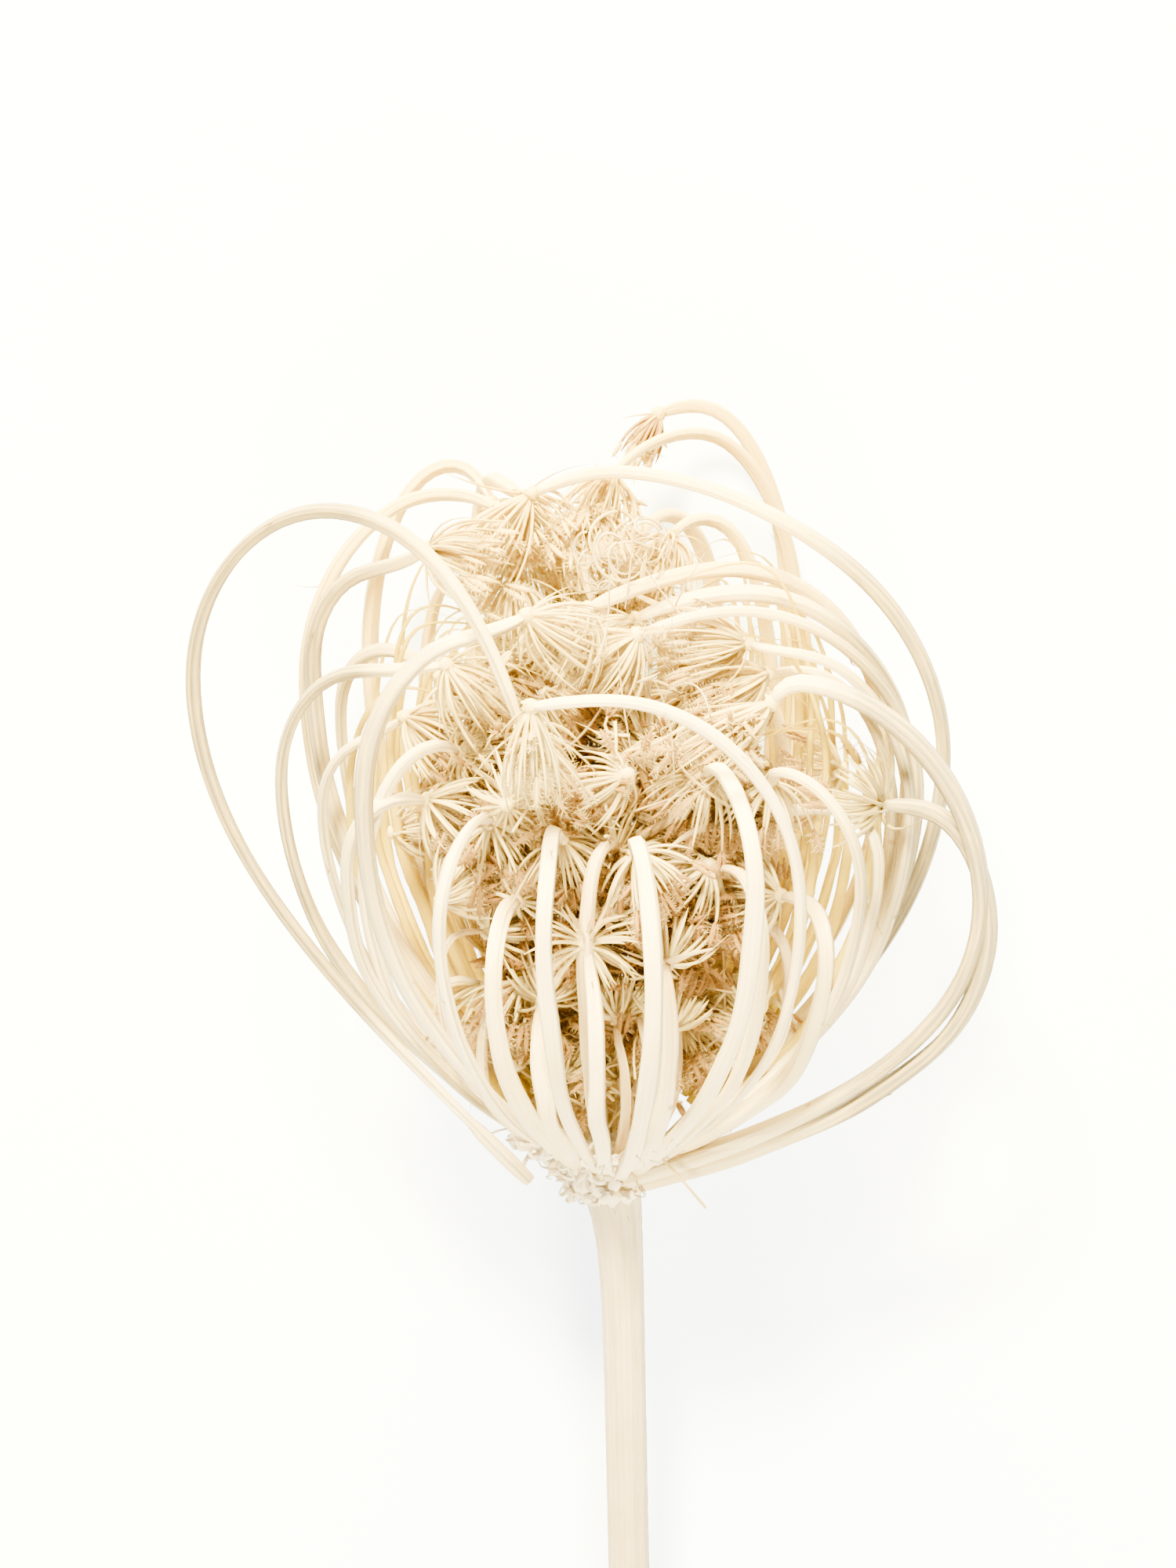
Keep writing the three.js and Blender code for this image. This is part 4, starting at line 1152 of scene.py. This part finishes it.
def make_rays():
    """Receptacle, rays, straps and loose ray; returns each ray's line, radii, hub place and end."""
    cream = plant_material("dry_ray_skin", (0.93, 0.8, 0.5), (0.82, 0.61, 0.17), (0.36, 0.18, 0.012),
                           (0.42, 0.21, 0.03), 8, 0.1)
    chalky = plant_material("torn_bract_skin", (1, 0.9, 0.7), (0.92, 0.78, 0.46), (0.6, 0.36, 0.12),
                            (0.5, 0.3, 0.1), 9, 0.1)
    leafy = plant_material("withered_ray_skin", (0.86, 0.74, 0.08), (0.86, 0.7, 0.04),
                           (0.8, 0.56, 0.03), (0.7, 0.45, 0.08), 5, 0.6)
    torn, rays, behind, loose = Shape(), Shape(), Shape(), Shape()
    receptacle(torn)
    for remnant in BRACTS:
        bract(torn, *remnant)
    torn_heap(torn)
    torn.build("receptacle_torn", "rays", chalky, "rays")
    grown = [ray_piece(rays, ray) for ray in [*RAYS, *DEEP_RAYS]]
    nest_lobes(rays)
    nest_threads(rays)
    top_curls(rays)
    for line, radii, _, _ in grown:
        fibres(rays, line, radii, 4, 0.03, 0.3, 1.4)
        fibres(rays, line, radii, 1, 0.3, 0.95, 2.2)
    rays.build("rays_ribbed", "rays", cream, "rays")
    straps(behind)
    behind.build("rays_withered", "rays", leafy, "rays")
    grown.append(ray_piece(loose, LOOSE_RAY, broken=True))
    fibres(loose, *grown[-1][:2], 3, 0.02, 0.9, 1.2)
    loose.build("loose_ray_ribbed", "rays", cream, "loose_ray")
    return grown


def make_umbellets(grown):
    """An umbellet on each ray's end, and those that dropped into the nest."""
    bristle = plant_material("dry_umbellet_skin", (0.98, 0.84, 0.38), (0.95, 0.72, 0.12),
                             (0.28, 0.12, 0.008), (0.42, 0.22, 0.045), 3, 0.22)
    fruits = [seed_fruit() for _ in range(FRUIT_KINDS)]
    room = Clearance(grown)
    hubs = [make_hub(ray, centre, end)
            for ray, (_, _, centre, end) in zip([*RAYS, *DEEP_RAYS, LOOSE_RAY], grown)]
    deep, dropped = Shape(), Shape()
    for owner, hub in enumerate(hubs):
        inside = len(RAYS) <= owner < len(hubs) - 1
        shape = deep if inside else Shape()
        umbellet(shape, fruits, hub, room.clear, owner)
        if not inside:
            node = f"umbellet_{min(owner, len(RAYS)) + 1:02d}"
            shape.build(node + "_bristly", "umbellets", bristle, node)
    packed_fruits(deep, fruits, room.clear)
    deep.build("umbellets_deep_bristly", "umbellets", bristle, "rays")
    for hub in shed_hubs(hubs, room.gap):
        umbellet(dropped, fruits, hub, room.clear, -1)
    dropped.build("umbellets_shed_bristly", "umbellets", bristle, "rays")


make_camera()
make_light()
make_floor()
all_rays = make_rays()
stem_piece(plant_material("dry_stem_skin", (0.74, 0.61, 0.43), (0.42, 0.32, 0.17), (0.5, 0.3, 0.12),
                          (0.4, 0.25, 0.1), 20, 0.05))
make_umbellets(all_rays)
